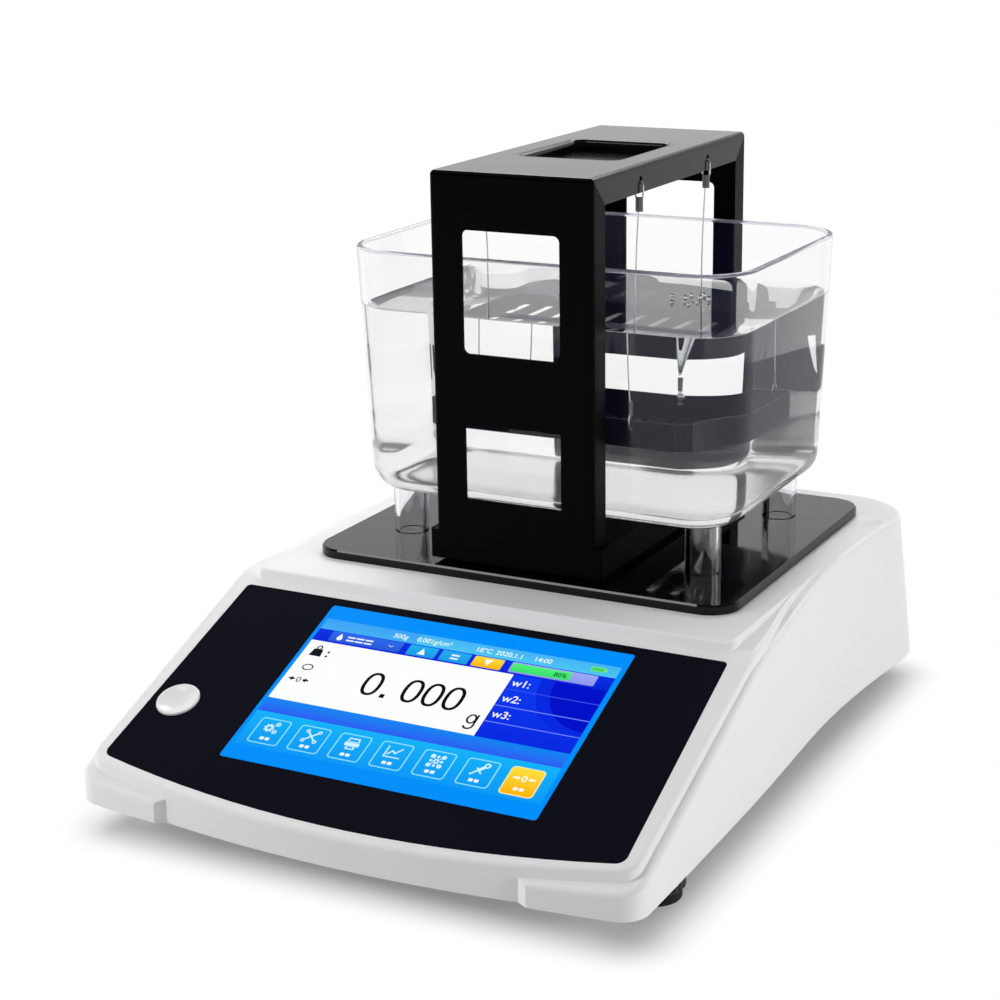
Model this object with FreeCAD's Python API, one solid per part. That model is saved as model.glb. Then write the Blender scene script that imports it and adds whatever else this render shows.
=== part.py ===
import FreeCAD, Part
import math
import os

V = FreeCAD.Vector
os.makedirs("parts", exist_ok=True)

# Benchtop density meter. Millimetres, +Z up, +X to the right, front towards -Y.
# Pieces are drawn about a point on the bench under the middle of the tank plate. save() then moves them
# forwards or back, so that the origin is on the bench, on the mirror plane, halfway along the whole meter.

# Levelling feet
pad_diameter = 24.0
pad_thickness = 4.6
wheel_diameter = 27.0
wheel_thickness = 7.0
wheel_gap = 0.4
grip_count = 24
grip_radius = 1.2
stud_diameter = 8.0
stud_length = 30.0
foot_inset = 18.4
rear_foot_inset = 33.3
front_foot_y = -192.0
rear_foot_y = 98.0
foot_travel = 2.0

# Housing
cover_bottom = 16.0
platform_z = 87.5
cover_wall = 3.2
panel_angle = 21.5
panel_top_y = -126.7
panel_top_z = 81.0
body_half_width = 132.2
body_front_y = -257.1
body_front_radius = 582.0
body_corner_radius = 9.0
platform_half_width = 123.0
platform_front_y = -120.4
riser_foot_y = -122.8
platform_corner_radius = 5.0
blend_end_y = -12.0
shoulder_drop = 5.2
shoulder_front_y = -258.0
shoulder_front_radius = 920.0
shoulder_corner_radius = 12.0
shoulder_end_y = 8.0
block_end_y = 14.0
waist_foot_y = -20.0
waist_top_y = 24.0
rear_y = 115.5
rear_lean = -1.5
rear_splay = 0.06
rear_corner_radius = 34.0
front_half_width = 135.9
lug_run = 4.0
lug_slant = 4.5
waist_half_width = 131.3
rear_half_width = 141.0
waist_draft = 5.3
rear_draft = 8.1
lug_inner_x = 90.4
lug_bevel = 7.6
edge_round = 2.0
shoulder_round = 2.6
dimple_x = 116.0
dimple_y = 74.0
dimple_radius = 9.0
dimple_depth = 1.1

# Bottom cover
bottom_thickness = 3.0
bottom_lift = 1.2
fit_gap = 0.4
boss_diameter = 17.0
boss_height = 9.0
insert_diameter = 12.0
thread_gap = 0.05
post_diameter = 9.0
screw_diameter = 3.0
screw_head_diameter = 5.6
screw_head_height = 1.0
screw_length = 12.0
post_inset = 20.2
post_front_y = -150.0
post_rear_y = 70.0

# Operating panel
rim_width = 6.2
overlay_taper = 3.0
overlay_side_length = 121.5
overlay_bow = 13.5
overlay_thickness = 1.8
overlay_top_round = 2.2
overlay_bottom_round = 5.0
screen_left = -72.4
screen_right = 81.8
screen_top = 4.9
screen_bottom = 109.0
screen_round = 1.6
screen_gap = 0.15
frame_overlap = 4.0
module_margin = 5.0
module_thickness = 6.0
bracket_thickness = 1.2
bracket_rail = 14.0
bracket_tab = 8.0

# Power button and its switch
button_inset = 14.7
button_down = 82.0
button_diameter = 20.2
button_gap = 0.3
button_proud = 0.9
button_dish = 1.7
button_rim = 1.2
button_travel = 1.2
button_collar = 1.6
button_collar_thickness = 1.4
button_skirt = 1.5
plunger_diameter = 4.0
plunger_length = 6.0
plunger_bite = 3.0
switch_width = 13.0
switch_height = 7.0
switch_leg = 2.0
switch_gap = 0.8

# Tank plate
plate_half_width = 109.0
plate_half_depth = 93.0
plate_thickness = 4.5
plate_corner_radius = 15.0
plate_edge_bevel = 0.8
post_hole_gap = 2.2

# Weighing frame
frame_half_width = 41.0
frame_front_y = -87.9
frame_rear_y = 92.1
frame_height = 186.0
sheet = 1.5
flange = 13.1
mitre_gap = 0.02
bend_round = 2.4
upper_window_top = 159.7
upper_window_bottom = 102.6
upper_window_round = 3.0
lower_window_top = 69.5
rear_lower_window_top = 77.5
lower_window_bottom = 33.4
window_half_width = 24.7
bar_lift = 2.5
bar_height = 14.0
bar_half_width = 44.5
bar_sheet = 2.0
bar_round = 1.5
pan_half_width = 28.4
pan_half_length = 35.4
pan_depth = 5.6
pan_sheet = 1.2
pan_rim = 3.8
pan_lip_round = 3.0
pan_gap = 0.15
pan_round = 8.4

# Load cell and what it carries
cell_width = 30.0
cell_height = 22.0
cell_length = 122.0
cell_bottom = 40.0
cell_hole_radius = 8.0
cell_hole_pitch = 30.0
cell_slot = 3.0
cell_screw_pitch = 20.0
cell_screw_diameter = 6.0
cell_head_diameter = 10.0
cell_head_height = 5.0
cell_overhang = 20.0
mount_length = 42.0
mount_width = 36.0
carrier_width = 66.0
carrier_length = 38.0
carrier_thickness = 4.0
carrier_gap = 0.6
load_post_diameter = 12.0
load_post_x = 22.0
bar_screw_diameter = 5.0
bar_screw_head = 9.0
bar_screw_head_height = 1.6
bar_screw_length = 14.0

# Tank
tank_rim_half_width = 102.0
tank_rim_half_depth = 74.0
tank_foot_half_width = 97.5
tank_foot_half_depth = 69.5
tank_rim_z = 143.8
tank_bottom_z = 23.0
tank_wall = 3.0
tank_rim_corner = 26.0
tank_foot_corner = 24.0
tank_bottom_round = 12.0
tank_lip_round = 0.9
leg_diameter = 17.0
leg_wall = 2.2
leg_x = 78.0
leg_y = 49.5

# Hanging tray, hooks and wires
hang_y = 2.9
tray_half_width = 67.0
tray_half_depth = 40.2
tray_bottom_z = 55.5
tray_height = 13.1
tray_sheet = 1.5
tray_corner = 5.0
tray_slot_count = 9
tray_slot_length = 24.0
tray_slot_width = 4.0
tray_slot_pitch = 13.0
tray_slot_row = 17.0
hook_hole_drop = 7.0
hook_hole_diameter = 3.2
hook_loop_radius = 1.9
hook_loop_height = 8.2
hook_wire_diameter = 0.9
hook_seat_gap = 0.22
sleeve_diameter = 3.5
sleeve_length = 6.3
sleeve_overlap = 0.8
wire_diameter = 0.7
wire_bow = 1.8
tray_hole_drop = 4.1
tray_hole_diameter = 2.2
ring_radius = 3.0
ring_wire_diameter = 0.8
ring_seat_gap = 0.13
lower_sleeve_diameter = 2.1
lower_sleeve_length = 6.9

# Electronics
board_x = -40.0
board_y = -62.0
board_width = 110.0
board_depth = 78.0
board_thickness = 1.6
chip_size = 14.0
chip_thickness = 1.6
driver_length = 18.0
driver_width = 8.0
driver_thickness = 3.0
header_length = 22.0
header_height = 8.0
can_diameter = 8.0
can_height = 11.0
can_pitch = 12.0
standoff_height = 12.0
standoff_diameter = 6.0
standoff_inset = 5.0
battery_x = 72.0
battery_y = -40.0
battery_width = 70.0
battery_depth = 52.0
battery_height = 20.0
jack_x = 66.0
jack_z = 40.0
jack_width = 11.0
jack_length = 14.0
jack_bore = 5.6
jack_bore_depth = 9.0
jack_pin = 2.0
port_x = 38.0
port_width = 31.0
port_height = 12.5
port_length = 11.0
port_face_width = 17.0
port_face_height = 8.4
port_face_proud = 3.0
port_sunk = 0.4

overlay_half_width = body_half_width - rim_width
button_x = button_inset - overlay_half_width
front_foot_x = front_half_width - foot_inset
rear_foot_x = waist_half_width - rear_foot_inset
post_x = body_half_width - post_inset
plate_top = platform_z + plate_thickness
middle_y = (frame_front_y + frame_rear_y) / 2
panel_turn = math.radians(panel_angle)
panel_place = FreeCAD.Placement(V(0, panel_top_y, panel_top_z), FreeCAD.Rotation(V(1, 0, 0), panel_angle))
floor_z = cover_bottom + bottom_lift + bottom_thickness
span = 600.0


def box(x0, x1, y0, y1, z0, z1):
    return Part.makeBox(x1 - x0, y1 - y0, z1 - z0, V(x0, y0, z0))


def post(diameter, x, y, z0, z1):
    return Part.makeCylinder(diameter / 2, z1 - z0, V(x, y, z0))


def on_panel(shape):
    """Puts a shape drawn flat, X across and -Y down the slope, onto the sloping panel."""
    shape.Placement = panel_place.multiply(shape.Placement)
    return shape


def panel_height(y):
    return panel_top_z + (y - panel_top_y) * math.tan(panel_turn)


def line(a, b):
    return Part.LineSegment(a, b).toShape()


def curve(points, start, end):
    """Smooth curve through the points that leaves along start and arrives along end."""
    spline = Part.BSplineCurve()
    spline.interpolate(Points=points, InitialTangent=start, FinalTangent=end)
    return spline.toShape()


def arc(a, b, c):
    return Part.Arc(a, b, c).toShape()


def prism(edges, direction):
    return Part.Face(Part.Wire(edges)).extrude(direction)


def closed(points):
    return [line(a, b) for a, b in zip(points, points[1:] + points[:1])]


def joined(shapes):
    return shapes[0].multiFuse(shapes[1:]).removeSplitter() if len(shapes) > 1 else shapes[0]


def edges_where(shape, test):
    return [e for e in shape.Edges if test(e)]


def upright(edge):
    a, b = edge.Vertexes[0].Point, edge.Vertexes[-1].Point
    return len(edge.Vertexes) == 2 and abs(a.z - b.z) > 1 and math.hypot(a.x - b.x, a.y - b.y) < abs(a.z - b.z)


def save(name, shape):
    shape.translate(V(0, -whole_middle_y(), 0))
    shape.exportStep("parts/" + name + ".step")
    print(name, round(shape.Volume), shape.isValid(), len(shape.Solids))


# Housing volumes. Each takes an inset, so that the hollow is the same shape pulled in by the wall.

def front_arc(y, radius, half, z, inset):
    """Arc from left to right whose middle stands furthest forward."""
    side = y + inset + radius - inset - math.sqrt((radius - inset) ** 2 - half ** 2)
    return arc(V(-half, side, z), V(0, y + inset, z), V(half, side, z)), side


def body_profile(inset):
    """Side view under the operating panel and the strip that runs back beside the platform."""
    drop = inset / math.cos(panel_turn)
    y_far = body_front_y - 10
    low = cover_bottom - 10 if inset else cover_bottom
    ramp = [V(0, y, z - inset) for y, z in (
        (riser_foot_y, panel_height(riser_foot_y)),
        (0.75 * riser_foot_y + 0.25 * blend_end_y, panel_height(riser_foot_y) + 0.52 * strip_rise()),
        (0.45 * riser_foot_y + 0.55 * blend_end_y, panel_height(riser_foot_y) + 0.84 * strip_rise()),
        (blend_end_y, platform_z))]
    start = V(0, y_far, panel_height(y_far) - drop)
    end = V(0, block_end_y, platform_z - inset)
    rise = curve(ramp, V(0, 1, math.tan(panel_turn)), V(0, 1, 0))
    edges = [line(start, ramp[0]), rise, line(ramp[-1], end),
             line(end, V(0, block_end_y, low)), line(V(0, block_end_y, low), V(0, y_far, low)),
             line(V(0, y_far, low), start)]
    return prism(edges, V(span, 0, 0)).translated(V(-span / 2, 0, 0))


def strip_rise():
    return platform_z - panel_height(riser_foot_y)


def body_volume(inset):
    """The raised block that holds the panel: straight sides that draw in beside the platform."""
    half = body_half_width - inset
    narrow = platform_half_width - inset
    low = cover_bottom - 10 if inset else cover_bottom
    front, side = front_arc(body_front_y, body_front_radius, half, low, inset)
    taper = [(riser_foot_y + 6, half), (0.6 * riser_foot_y, 0.45 * half + 0.55 * narrow), (blend_end_y, narrow + 0.4),
             (block_end_y, narrow)]
    right = curve([V(x, y, low) for y, x in taper], V(0, 1, 0), V(0, 1, 0))
    left = curve([V(-x, y, low) for y, x in reversed(taper)], V(0, -1, 0), V(0, -1, 0))
    edges = [front, line(V(half, side, low), V(half, taper[0][0], low)), right,
             line(V(narrow, block_end_y, low), V(-narrow, block_end_y, low)), left,
             line(V(-half, taper[0][0], low), V(-half, side, low))]
    solid = prism(edges, V(0, 0, platform_z + 20 - low))
    corners = edges_where(solid, lambda e: upright(e) and e.Vertexes[0].Y < side + 1)
    solid = solid.makeFillet(body_corner_radius - inset, corners).common(body_profile(inset))
    if inset == 0:
        rim = edges_where(solid, lambda e: not upright(e) and e.BoundBox.ZMin > cover_bottom + 5
                          and (e.BoundBox.XLength < body_half_width or e.BoundBox.YMax < side + 1))
        solid = solid.makeFillet(edge_round, rim)
    return solid


def shoulder_profile(inset):
    """Side view of the lower side walls: the same slope, dropped, then rising to the platform's level."""
    drop = shoulder_drop + inset / math.cos(panel_turn)
    y_far = shoulder_front_y - 10
    low = cover_bottom - 10 if inset else cover_bottom
    start = V(0, y_far, panel_height(y_far) - drop)
    level = platform_z - inset
    rise = [V(0, panel_top_y, panel_top_z - drop)]
    steps = ((0.8, 0.585), (0.5, 0.2), (0.25, 0.035))
    for share, below in steps:
        y = shoulder_end_y + (panel_top_y - shoulder_end_y) * share
        rise.append(V(0, y, level - below * (platform_z - panel_top_z + shoulder_drop)))
    rise.append(V(0, shoulder_end_y, level))
    far = V(0, rear_y + 10, level)
    swell = curve(rise, V(0, 1, math.tan(panel_turn)), V(0, 1, 0))
    edges = [line(start, rise[0]), swell, line(rise[-1], far), line(far, V(0, far.y, low)),
             line(V(0, far.y, low), V(0, y_far, low)), line(V(0, y_far, low), start)]
    return prism(edges, V(span, 0, 0)).translated(V(-span / 2, 0, 0))


def shoulder_outline(z, inset):
    """Plan of the lower side walls at one height: drawn in at the waist, which lies further back higher up."""
    share = (z - cover_bottom) / (platform_z - cover_bottom)
    nose = front_half_width - inset
    waist = waist_half_width - inset - share * waist_draft
    tail = rear_half_width - inset - share * rear_draft
    neck = waist_foot_y + share * (waist_top_y - waist_foot_y)
    back = rear_y - inset - share * rear_lean
    front, side = front_arc(shoulder_front_y, shoulder_front_radius, nose, z, inset)
    flank = [(side, nose)]
    flank += [(side + t * (neck - side), nose + part * (waist - nose)) for t, part in ((0.4, 0.12), (0.7, 0.5), (1, 1))]
    flank += [(neck + t * (back - neck), waist + part * (tail - waist)) for t, part in ((0.4, 0.25), (0.7, 0.66), (1, 1))]
    right = curve([V(x, y, z) for y, x in flank], V(0, 1, 0), V(rear_splay, 1, 0))
    left = curve([V(-x, y, z) for y, x in reversed(flank)], V(rear_splay, -1, 0), V(0, -1, 0))
    return Part.Wire([front, right, line(V(tail, back, z), V(-tail, back, z)), left])


def shoulder_volume(inset):
    """Side walls and lugs, with a slight lean outwards towards the bench."""
    low = cover_bottom - 10 if inset else cover_bottom
    high = platform_z + 10
    wires = [shoulder_outline(z, inset) for z in (low, high)]
    solid = Part.makeLoft(wires, True, True)
    front = edges_where(solid, lambda e: upright(e) and e.Vertexes[0].Y < 0)
    solid = solid.makeFillet(shoulder_corner_radius - inset, front)
    rear = edges_where(solid, lambda e: upright(e) and e.CenterOfMass.y > rear_y - 15)
    solid = solid.makeFillet(rear_corner_radius - inset, rear)
    solid = solid.common(shoulder_profile(inset))
    if inset == 0:
        top = edges_where(solid, lambda e: not upright(e) and e.BoundBox.ZMin > cover_bottom + 5
                          and (abs(e.CenterOfMass.x) > 60 or e.CenterOfMass.y > rear_y - 10
                               or e.BoundBox.YMax < body_front_y + 30))
        solid = solid.makeFillet(shoulder_round, top)
    inner = lug_inner_x + inset
    waist = inner - lug_bevel
    bend_y = shoulder_front_y + lug_run
    far_y = bend_y + lug_slant
    deep_y = far_y + 2 * body_half_width / 3
    right = [V(inner, shoulder_front_y - span, 0), V(inner, bend_y, 0), V(waist, far_y, 0), V(waist, deep_y, 0)]
    left = [V(-c.x, c.y, 0) for c in reversed(right)]
    return solid.cut(prism(closed(right + left), V(0, 0, span)))


def platform_volume(inset):
    """The level block that carries the tank plate, with a steep riser at its front."""
    low = cover_bottom - 10 if inset else cover_bottom + 30
    half = platform_half_width - inset
    foot_z = panel_height(riser_foot_y)
    front = platform_front_y + inset
    foot = riser_foot_y + inset
    points = [V(0, foot, low), V(0, foot, foot_z), V(0, front, platform_z - inset),
              V(0, rear_y - 14, platform_z - inset), V(0, rear_y - 14, low)]
    solid = prism(closed(points), V(2 * half, 0, 0)).translated(V(-half, 0, 0))
    if inset == 0:
        corners = edges_where(solid, lambda e: e.BoundBox.XLength < 0.1 and e.CenterOfMass.y < front + 1
                              and e.BoundBox.ZLength > 3)
        solid = solid.makeFillet(platform_corner_radius, corners)
        top = edges_where(solid, lambda e: e.BoundBox.ZMin > platform_z - 0.1 and e.CenterOfMass.y < rear_y - 20)
        solid = solid.makeFillet(edge_round, top)
    return solid


def housing_volume(inset):
    return joined([shoulder_volume(inset), body_volume(inset), platform_volume(inset)])


def whole_middle_y():
    """Halfway between the front of the panel's rim and the data socket's collar."""
    return (body_front_y + rear_face_y(jack_z) - port_sunk + port_face_proud) / 2


# Pieces on the sloping panel are drawn flat and then placed with on_panel().

def overlay_blank(gap, z0, z1):
    half = overlay_half_width + gap
    top_half = half - overlay_taper
    side = -overlay_side_length
    low = side - overlay_bow - gap
    edges = [line(V(-top_half, gap, z0), V(-half, side, z0)), arc(V(-half, side, z0), V(0, low, z0), V(half, side, z0)),
             line(V(half, side, z0), V(top_half, gap, z0)), line(V(top_half, gap, z0), V(-top_half, gap, z0))]
    solid = prism(edges, V(0, 0, z1 - z0))
    top = edges_where(solid, lambda e: upright(e) and e.CenterOfMass.y > -5)
    solid = solid.makeFillet(overlay_top_round, top)
    bottom = edges_where(solid, lambda e: upright(e) and e.CenterOfMass.y < side + 5)
    return solid.makeFillet(overlay_bottom_round, bottom)


def screen_block(gap, z0, z1, round_radius):
    solid = box(screen_left - gap, screen_right + gap, -screen_bottom - gap, -screen_top + gap, z0, z1)
    if round_radius:
        solid = solid.makeFillet(round_radius, edges_where(solid, upright))
    return solid


def button_hole(z0, z1):
    return post(button_diameter + 2 * button_gap, button_x, -button_down, z0, z1)


def cover_post_places():
    return [(side * post_x, y) for side in (-1, 1) for y in (post_front_y, post_rear_y)]


def foot_places():
    return {"front_left": (-front_foot_x, front_foot_y), "front_right": (front_foot_x, front_foot_y),
            "rear_left": (-rear_foot_x, rear_foot_y), "rear_right": (rear_foot_x, rear_foot_y)}


def load_post_places():
    return [(-load_post_x, middle_y), (load_post_x, middle_y)]


def upper_cover():
    outer = housing_volume(0)
    shell = outer.cut(housing_volume(cover_wall))
    posts = [post(post_diameter, x, y, floor_z, platform_z) for x, y in cover_post_places()]
    shell = joined([shell] + [p.common(outer) for p in posts])
    for x, y in cover_post_places():
        shell = shell.cut(post(screw_bore(), x, y, floor_z - 1, floor_z + screw_length))
    recess = on_panel(overlay_blank(fit_gap / 4, -overlay_thickness, 20))
    window = on_panel(screen_block(-frame_overlap, -20, 0, 0))
    button = on_panel(button_hole(-20, 0))
    shell = shell.cut(recess).cut(window).cut(button)
    for x, y in load_post_places():
        shell = shell.cut(post(load_post_diameter + 2 * post_hole_gap, x, y, platform_z - 20, platform_z + 5))
    shell = shell.cut(jack_body(fit_gap / 2)).cut(port_body(fit_gap / 2))
    ball = (dimple_radius ** 2 + dimple_depth ** 2) / (2 * dimple_depth)
    return shell.cut(Part.makeSphere(ball, V(dimple_x, dimple_y, platform_z - dimple_depth + ball)))


def screw_bore():
    return screw_diameter + 2 * thread_gap


def bottom_cover():
    slab = box(-span / 2, span / 2, -span / 2, span / 2, floor_z - bottom_thickness, floor_z)
    plate = housing_volume(cover_wall + fit_gap).common(slab)
    bosses = [post(boss_diameter, x, y, floor_z, floor_z + boss_height) for x, y in foot_places().values()]
    plate = joined([plate] + bosses)
    for x, y in foot_places().values():
        plate = plate.cut(post(insert_diameter, x, y, floor_z, floor_z + boss_height))
        plate = plate.cut(post(stud_diameter + 1, x, y, 0, floor_z))
    for x, y in cover_post_places():
        plate = plate.cut(post(screw_bore(), x, y, 0, floor_z))
    return plate


def cover_screws():
    under = floor_z - bottom_thickness
    shapes = []
    for x, y in cover_post_places():
        head = post(screw_head_diameter, x, y, under - screw_head_height, under)
        shank = post(screw_diameter, x, y, under, floor_z + screw_length - 1)
        shapes.append(joined([head, shank]))
    return Part.makeCompound(shapes)


def foot_inserts():
    rings = []
    for x, y in foot_places().values():
        ring = post(insert_diameter, x, y, floor_z, floor_z + boss_height)
        rings.append(ring.cut(post(stud_diameter + 2 * thread_gap, x, y, 0, 60)))
    return Part.makeCompound(rings)


def foot_pad(x, y):
    pad = post(pad_diameter, x, y, 0, pad_thickness)
    pad = pad.makeFillet(1.0, [e for e in pad.Edges if e.Closed and e.CenterOfMass.z < 1])
    socket = post(stud_diameter + 2 * thread_gap, x, y, pad_thickness - 3, pad_thickness)
    return pad.cut(socket)


def foot_screw(x, y):
    low = pad_thickness + wheel_gap
    wheel = post(wheel_diameter, x, y, low, low + wheel_thickness)
    wheel = wheel.makeChamfer(0.8, [e for e in wheel.Edges if e.Closed])
    for i in range(grip_count):
        turn = 2 * math.pi * i / grip_count
        reach = wheel_diameter / 2 + grip_radius * 0.45
        wheel = wheel.cut(post(2 * grip_radius, x + reach * math.cos(turn), y + reach * math.sin(turn), 0, 30))
    stud_low = pad_thickness - 3 + wheel_gap
    stud = post(stud_diameter, x, y, stud_low, stud_low + stud_length)
    stud = stud.makeChamfer(0.8, [e for e in stud.Edges if e.Closed and e.CenterOfMass.z > stud_low + 1])
    return joined([wheel, stud])


def overlay_panel():
    glass = overlay_blank(0, -overlay_thickness, 0)
    glass = glass.cut(screen_block(screen_gap, -5, 5, screen_round)).cut(button_hole(-5, 5))
    return on_panel(glass)


def touch_screen():
    return on_panel(screen_block(0, -overlay_thickness, 0, screen_round - screen_gap))


def module_block(margin, z0, z1):
    return box(screen_left - margin, screen_right + margin, -screen_bottom - margin, -screen_top + margin, z0, z1)


def display_module():
    top = -cover_wall
    back = module_block(module_margin, top - module_thickness, top)
    raised = screen_block(-frame_overlap - fit_gap, top, -overlay_thickness, 0)
    return on_panel(joined([back, raised]))


def display_bracket():
    top = -cover_wall - module_thickness
    sheet_block = module_block(module_margin + bracket_tab, top - bracket_thickness, top)
    hole = module_block(module_margin - bracket_rail, top - 5, top + 5)
    frame = sheet_block.cut(hole)
    tabs = []
    for x in (screen_left - module_margin - bracket_tab, screen_right + module_margin + bracket_tab - 6):
        for y in (-screen_bottom + 10, -screen_top - 26):
            tabs.append(box(x, x + 6, y, y + 16, top, -cover_wall))
    return on_panel(joined([frame] + tabs))


def power_button():
    radius = button_diameter / 2
    under = -cover_wall - 0.1
    cap = post(button_diameter, button_x, -button_down, under, button_proud)
    rim = radius - button_rim
    ball = (rim ** 2 + button_dish ** 2) / (2 * button_dish)
    cap = cap.cut(Part.makeSphere(ball, V(button_x, -button_down, button_proud - button_dish + ball)))
    cap = cap.makeFillet(0.5, [e for e in cap.Edges if e.Closed and e.CenterOfMass.z > button_proud - 0.01])
    collar = post(button_diameter + 2 * button_collar, button_x, -button_down, under - button_collar_thickness, under)
    return on_panel(joined([cap, collar]))


def collar_bottom():
    return -cover_wall - 0.1 - button_collar_thickness


def switch_plunger():
    low = collar_bottom() - plunger_length
    return on_panel(post(plunger_diameter, button_x, -button_down, low, collar_bottom()))


def switch_body():
    """Latching switch under the button, hung from the cover by two legs."""
    top = collar_bottom() - plunger_length + plunger_bite
    half = switch_width / 2
    block = box(button_x - half, button_x + half, -button_down - half, -button_down + half, top - switch_height, top)
    bore = post(plunger_diameter + 0.16, button_x, -button_down, top - plunger_bite - button_travel - 0.5, top)
    arm_low = -button_down - half - switch_leg
    arm_high = -button_down + half + switch_leg
    reach = button_diameter / 2 + button_collar + switch_gap
    strips = []
    for side in (-1, 1):
        x0 = button_x + side * half
        x1 = button_x + side * reach
        arm = box(min(x0, x1), max(x0, x1), -button_down - 3, -button_down + 3, top - 2, top)
        leg = box(min(x1, x1 + side * switch_leg), max(x1, x1 + side * switch_leg), -button_down - 3, -button_down + 3,
                  top - 2, -cover_wall)
        strips += [arm, leg]
    pins = box(button_x - 2, button_x + 2, arm_low, arm_high, top - switch_height, top - switch_height + 1)
    return on_panel(joined([block, pins] + strips).cut(bore))


# Tank plate, tank and legs

def tank_plate():
    plate = box(-plate_half_width, plate_half_width, -plate_half_depth, plate_half_depth, platform_z, plate_top)
    plate = plate.makeFillet(plate_corner_radius, edges_where(plate, upright))
    top = edges_where(plate, lambda e: e.BoundBox.ZMin > plate_top - 0.1)
    plate = plate.makeChamfer(plate_edge_bevel, top)
    for x, y in load_post_places():
        plate = plate.cut(post(load_post_diameter + 2 * post_hole_gap, x, y, platform_z - 1, plate_top + 1))
    return plate


def rounded_rectangle(half_width, half_depth, corner, z):
    x, y, c = half_width, half_depth, corner
    s = c * (1 - math.sqrt(0.5))
    points = [(x, c - y, x - s, s - y, x - c, -y), (c - x, -y, s - x, s - y, -x, c - y),
              (-x, y - c, s - x, y - s, c - x, y), (x - c, y, x - s, y - s, x, y - c)]
    arcs = [arc(*[V(p[i], p[i + 1] + middle_y, z) for i in (0, 2, 4)]) for p in points]
    ends = [(a.Vertexes[-1].Point, b.Vertexes[0].Point) for a, b in zip(arcs, arcs[1:] + arcs[:1])]
    edges = []
    for bend, (a, b) in zip(arcs, ends):
        edges += [bend, line(a, b)]
    return Part.Wire(edges)


def tank_volume(inset, rim_z, bottom_z):
    taper = (tank_rim_half_width - tank_foot_half_width) / (tank_rim_z - tank_bottom_z)
    spread = taper * (rim_z - tank_rim_z)
    low = rounded_rectangle(tank_foot_half_width - inset, tank_foot_half_depth - inset, tank_foot_corner - inset,
                            plate_top + bottom_z)
    high = rounded_rectangle(tank_rim_half_width - inset + spread, tank_rim_half_depth - inset + spread,
                             tank_rim_corner - inset, plate_top + rim_z)
    solid = Part.makeLoft([low, high], True, True)
    bottom = edges_where(solid, lambda e: e.BoundBox.ZMax < plate_top + bottom_z + 0.1)
    return solid.makeFillet(tank_bottom_round - inset, bottom)


def tank():
    shell = tank_volume(0, tank_rim_z, tank_bottom_z)
    shell = shell.cut(tank_volume(tank_wall, tank_rim_z + 5, tank_bottom_z + tank_wall))
    rim = edges_where(shell, lambda e: e.BoundBox.ZMin > plate_top + tank_rim_z - 0.1)
    return shell.makeFillet(tank_lip_round, rim)


def tank_legs():
    blank = tank_volume(0, tank_rim_z, tank_bottom_z)
    legs = []
    for x in (-leg_x, leg_x):
        for y in (middle_y - leg_y, middle_y + leg_y):
            tube = post(leg_diameter, x, y, plate_top, plate_top + tank_bottom_z + tank_bottom_round)
            tube = tube.cut(post(leg_diameter - 2 * leg_wall, x, y, plate_top - 1, plate_top + span))
            legs.append(max(tube.cut(blank).Solids, key=lambda s: s.Volume))
    return Part.makeCompound(legs)


# Weighing frame

def bar_top():
    return plate_top + bar_lift + bar_height


def frame_envelope():
    """The whole portal's outer shape, with its bends rounded and its feet square."""
    low = bar_top()
    block = box(-frame_half_width, frame_half_width, frame_front_y, frame_rear_y, low, plate_top + frame_height)
    return block.makeFillet(bend_round, edges_where(block, lambda e: e.BoundBox.ZMax > low + 1))


def frame_end_panel(outer_y, inward, lower_top):
    """Front or rear panel: a web with two windows, flanges bent inwards and a mitred top."""
    low = bar_top()
    high = plate_top + frame_height
    w = frame_half_width
    reach = outer_y + inward * flange
    skin = outer_y + inward * sheet
    web = box(-w, w, min(outer_y, skin), max(outer_y, skin), low, high)
    sides = [box(min(s * w, s * (w - sheet)), max(s * w, s * (w - sheet)), min(outer_y, reach), max(outer_y, reach),
                 low, high) for s in (-1, 1)]
    panel = joined([web] + sides).common(frame_envelope())
    for top, bottom, corner in ((upper_window_top, upper_window_bottom, upper_window_round),
                                (lower_top, lower_window_bottom, 0)):
        hole = box(-window_half_width, window_half_width, outer_y - 5, outer_y + 5, plate_top + bottom, plate_top + top)
        if corner:
            hole = hole.makeFillet(corner, edges_where(hole, lambda e: e.BoundBox.YLength > 5))
        panel = panel.cut(hole)
    tip = V(-span / 2, outer_y, high - mitre_gap)
    wedge = [tip, V(tip.x, outer_y, high + 40), V(tip.x, outer_y + inward * 60, high + 40),
             V(tip.x, outer_y + inward * 60, high - mitre_gap - 60)]
    return panel.cut(prism(closed(wedge), V(span, 0, 0)))


def frame_front():
    return frame_end_panel(frame_front_y, 1, lower_window_top)


def frame_rear():
    return frame_end_panel(frame_rear_y, -1, rear_lower_window_top)


def hook_places():
    x = frame_half_width - sheet / 2
    y = tray_half_depth - tray_sheet / 2
    return {"front_left": (-x, hang_y - y), "front_right": (x, hang_y - y),
            "rear_left": (-x, hang_y + y), "rear_right": (x, hang_y + y)}


def hook_hole_z():
    return plate_top + frame_height - hook_hole_drop


def hook_pivot_z():
    """Middle of the hook's wire where it lies on the lower edge of its hole."""
    return hook_hole_z() - (hook_hole_diameter - hook_wire_diameter) / 2 + hook_seat_gap


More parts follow.
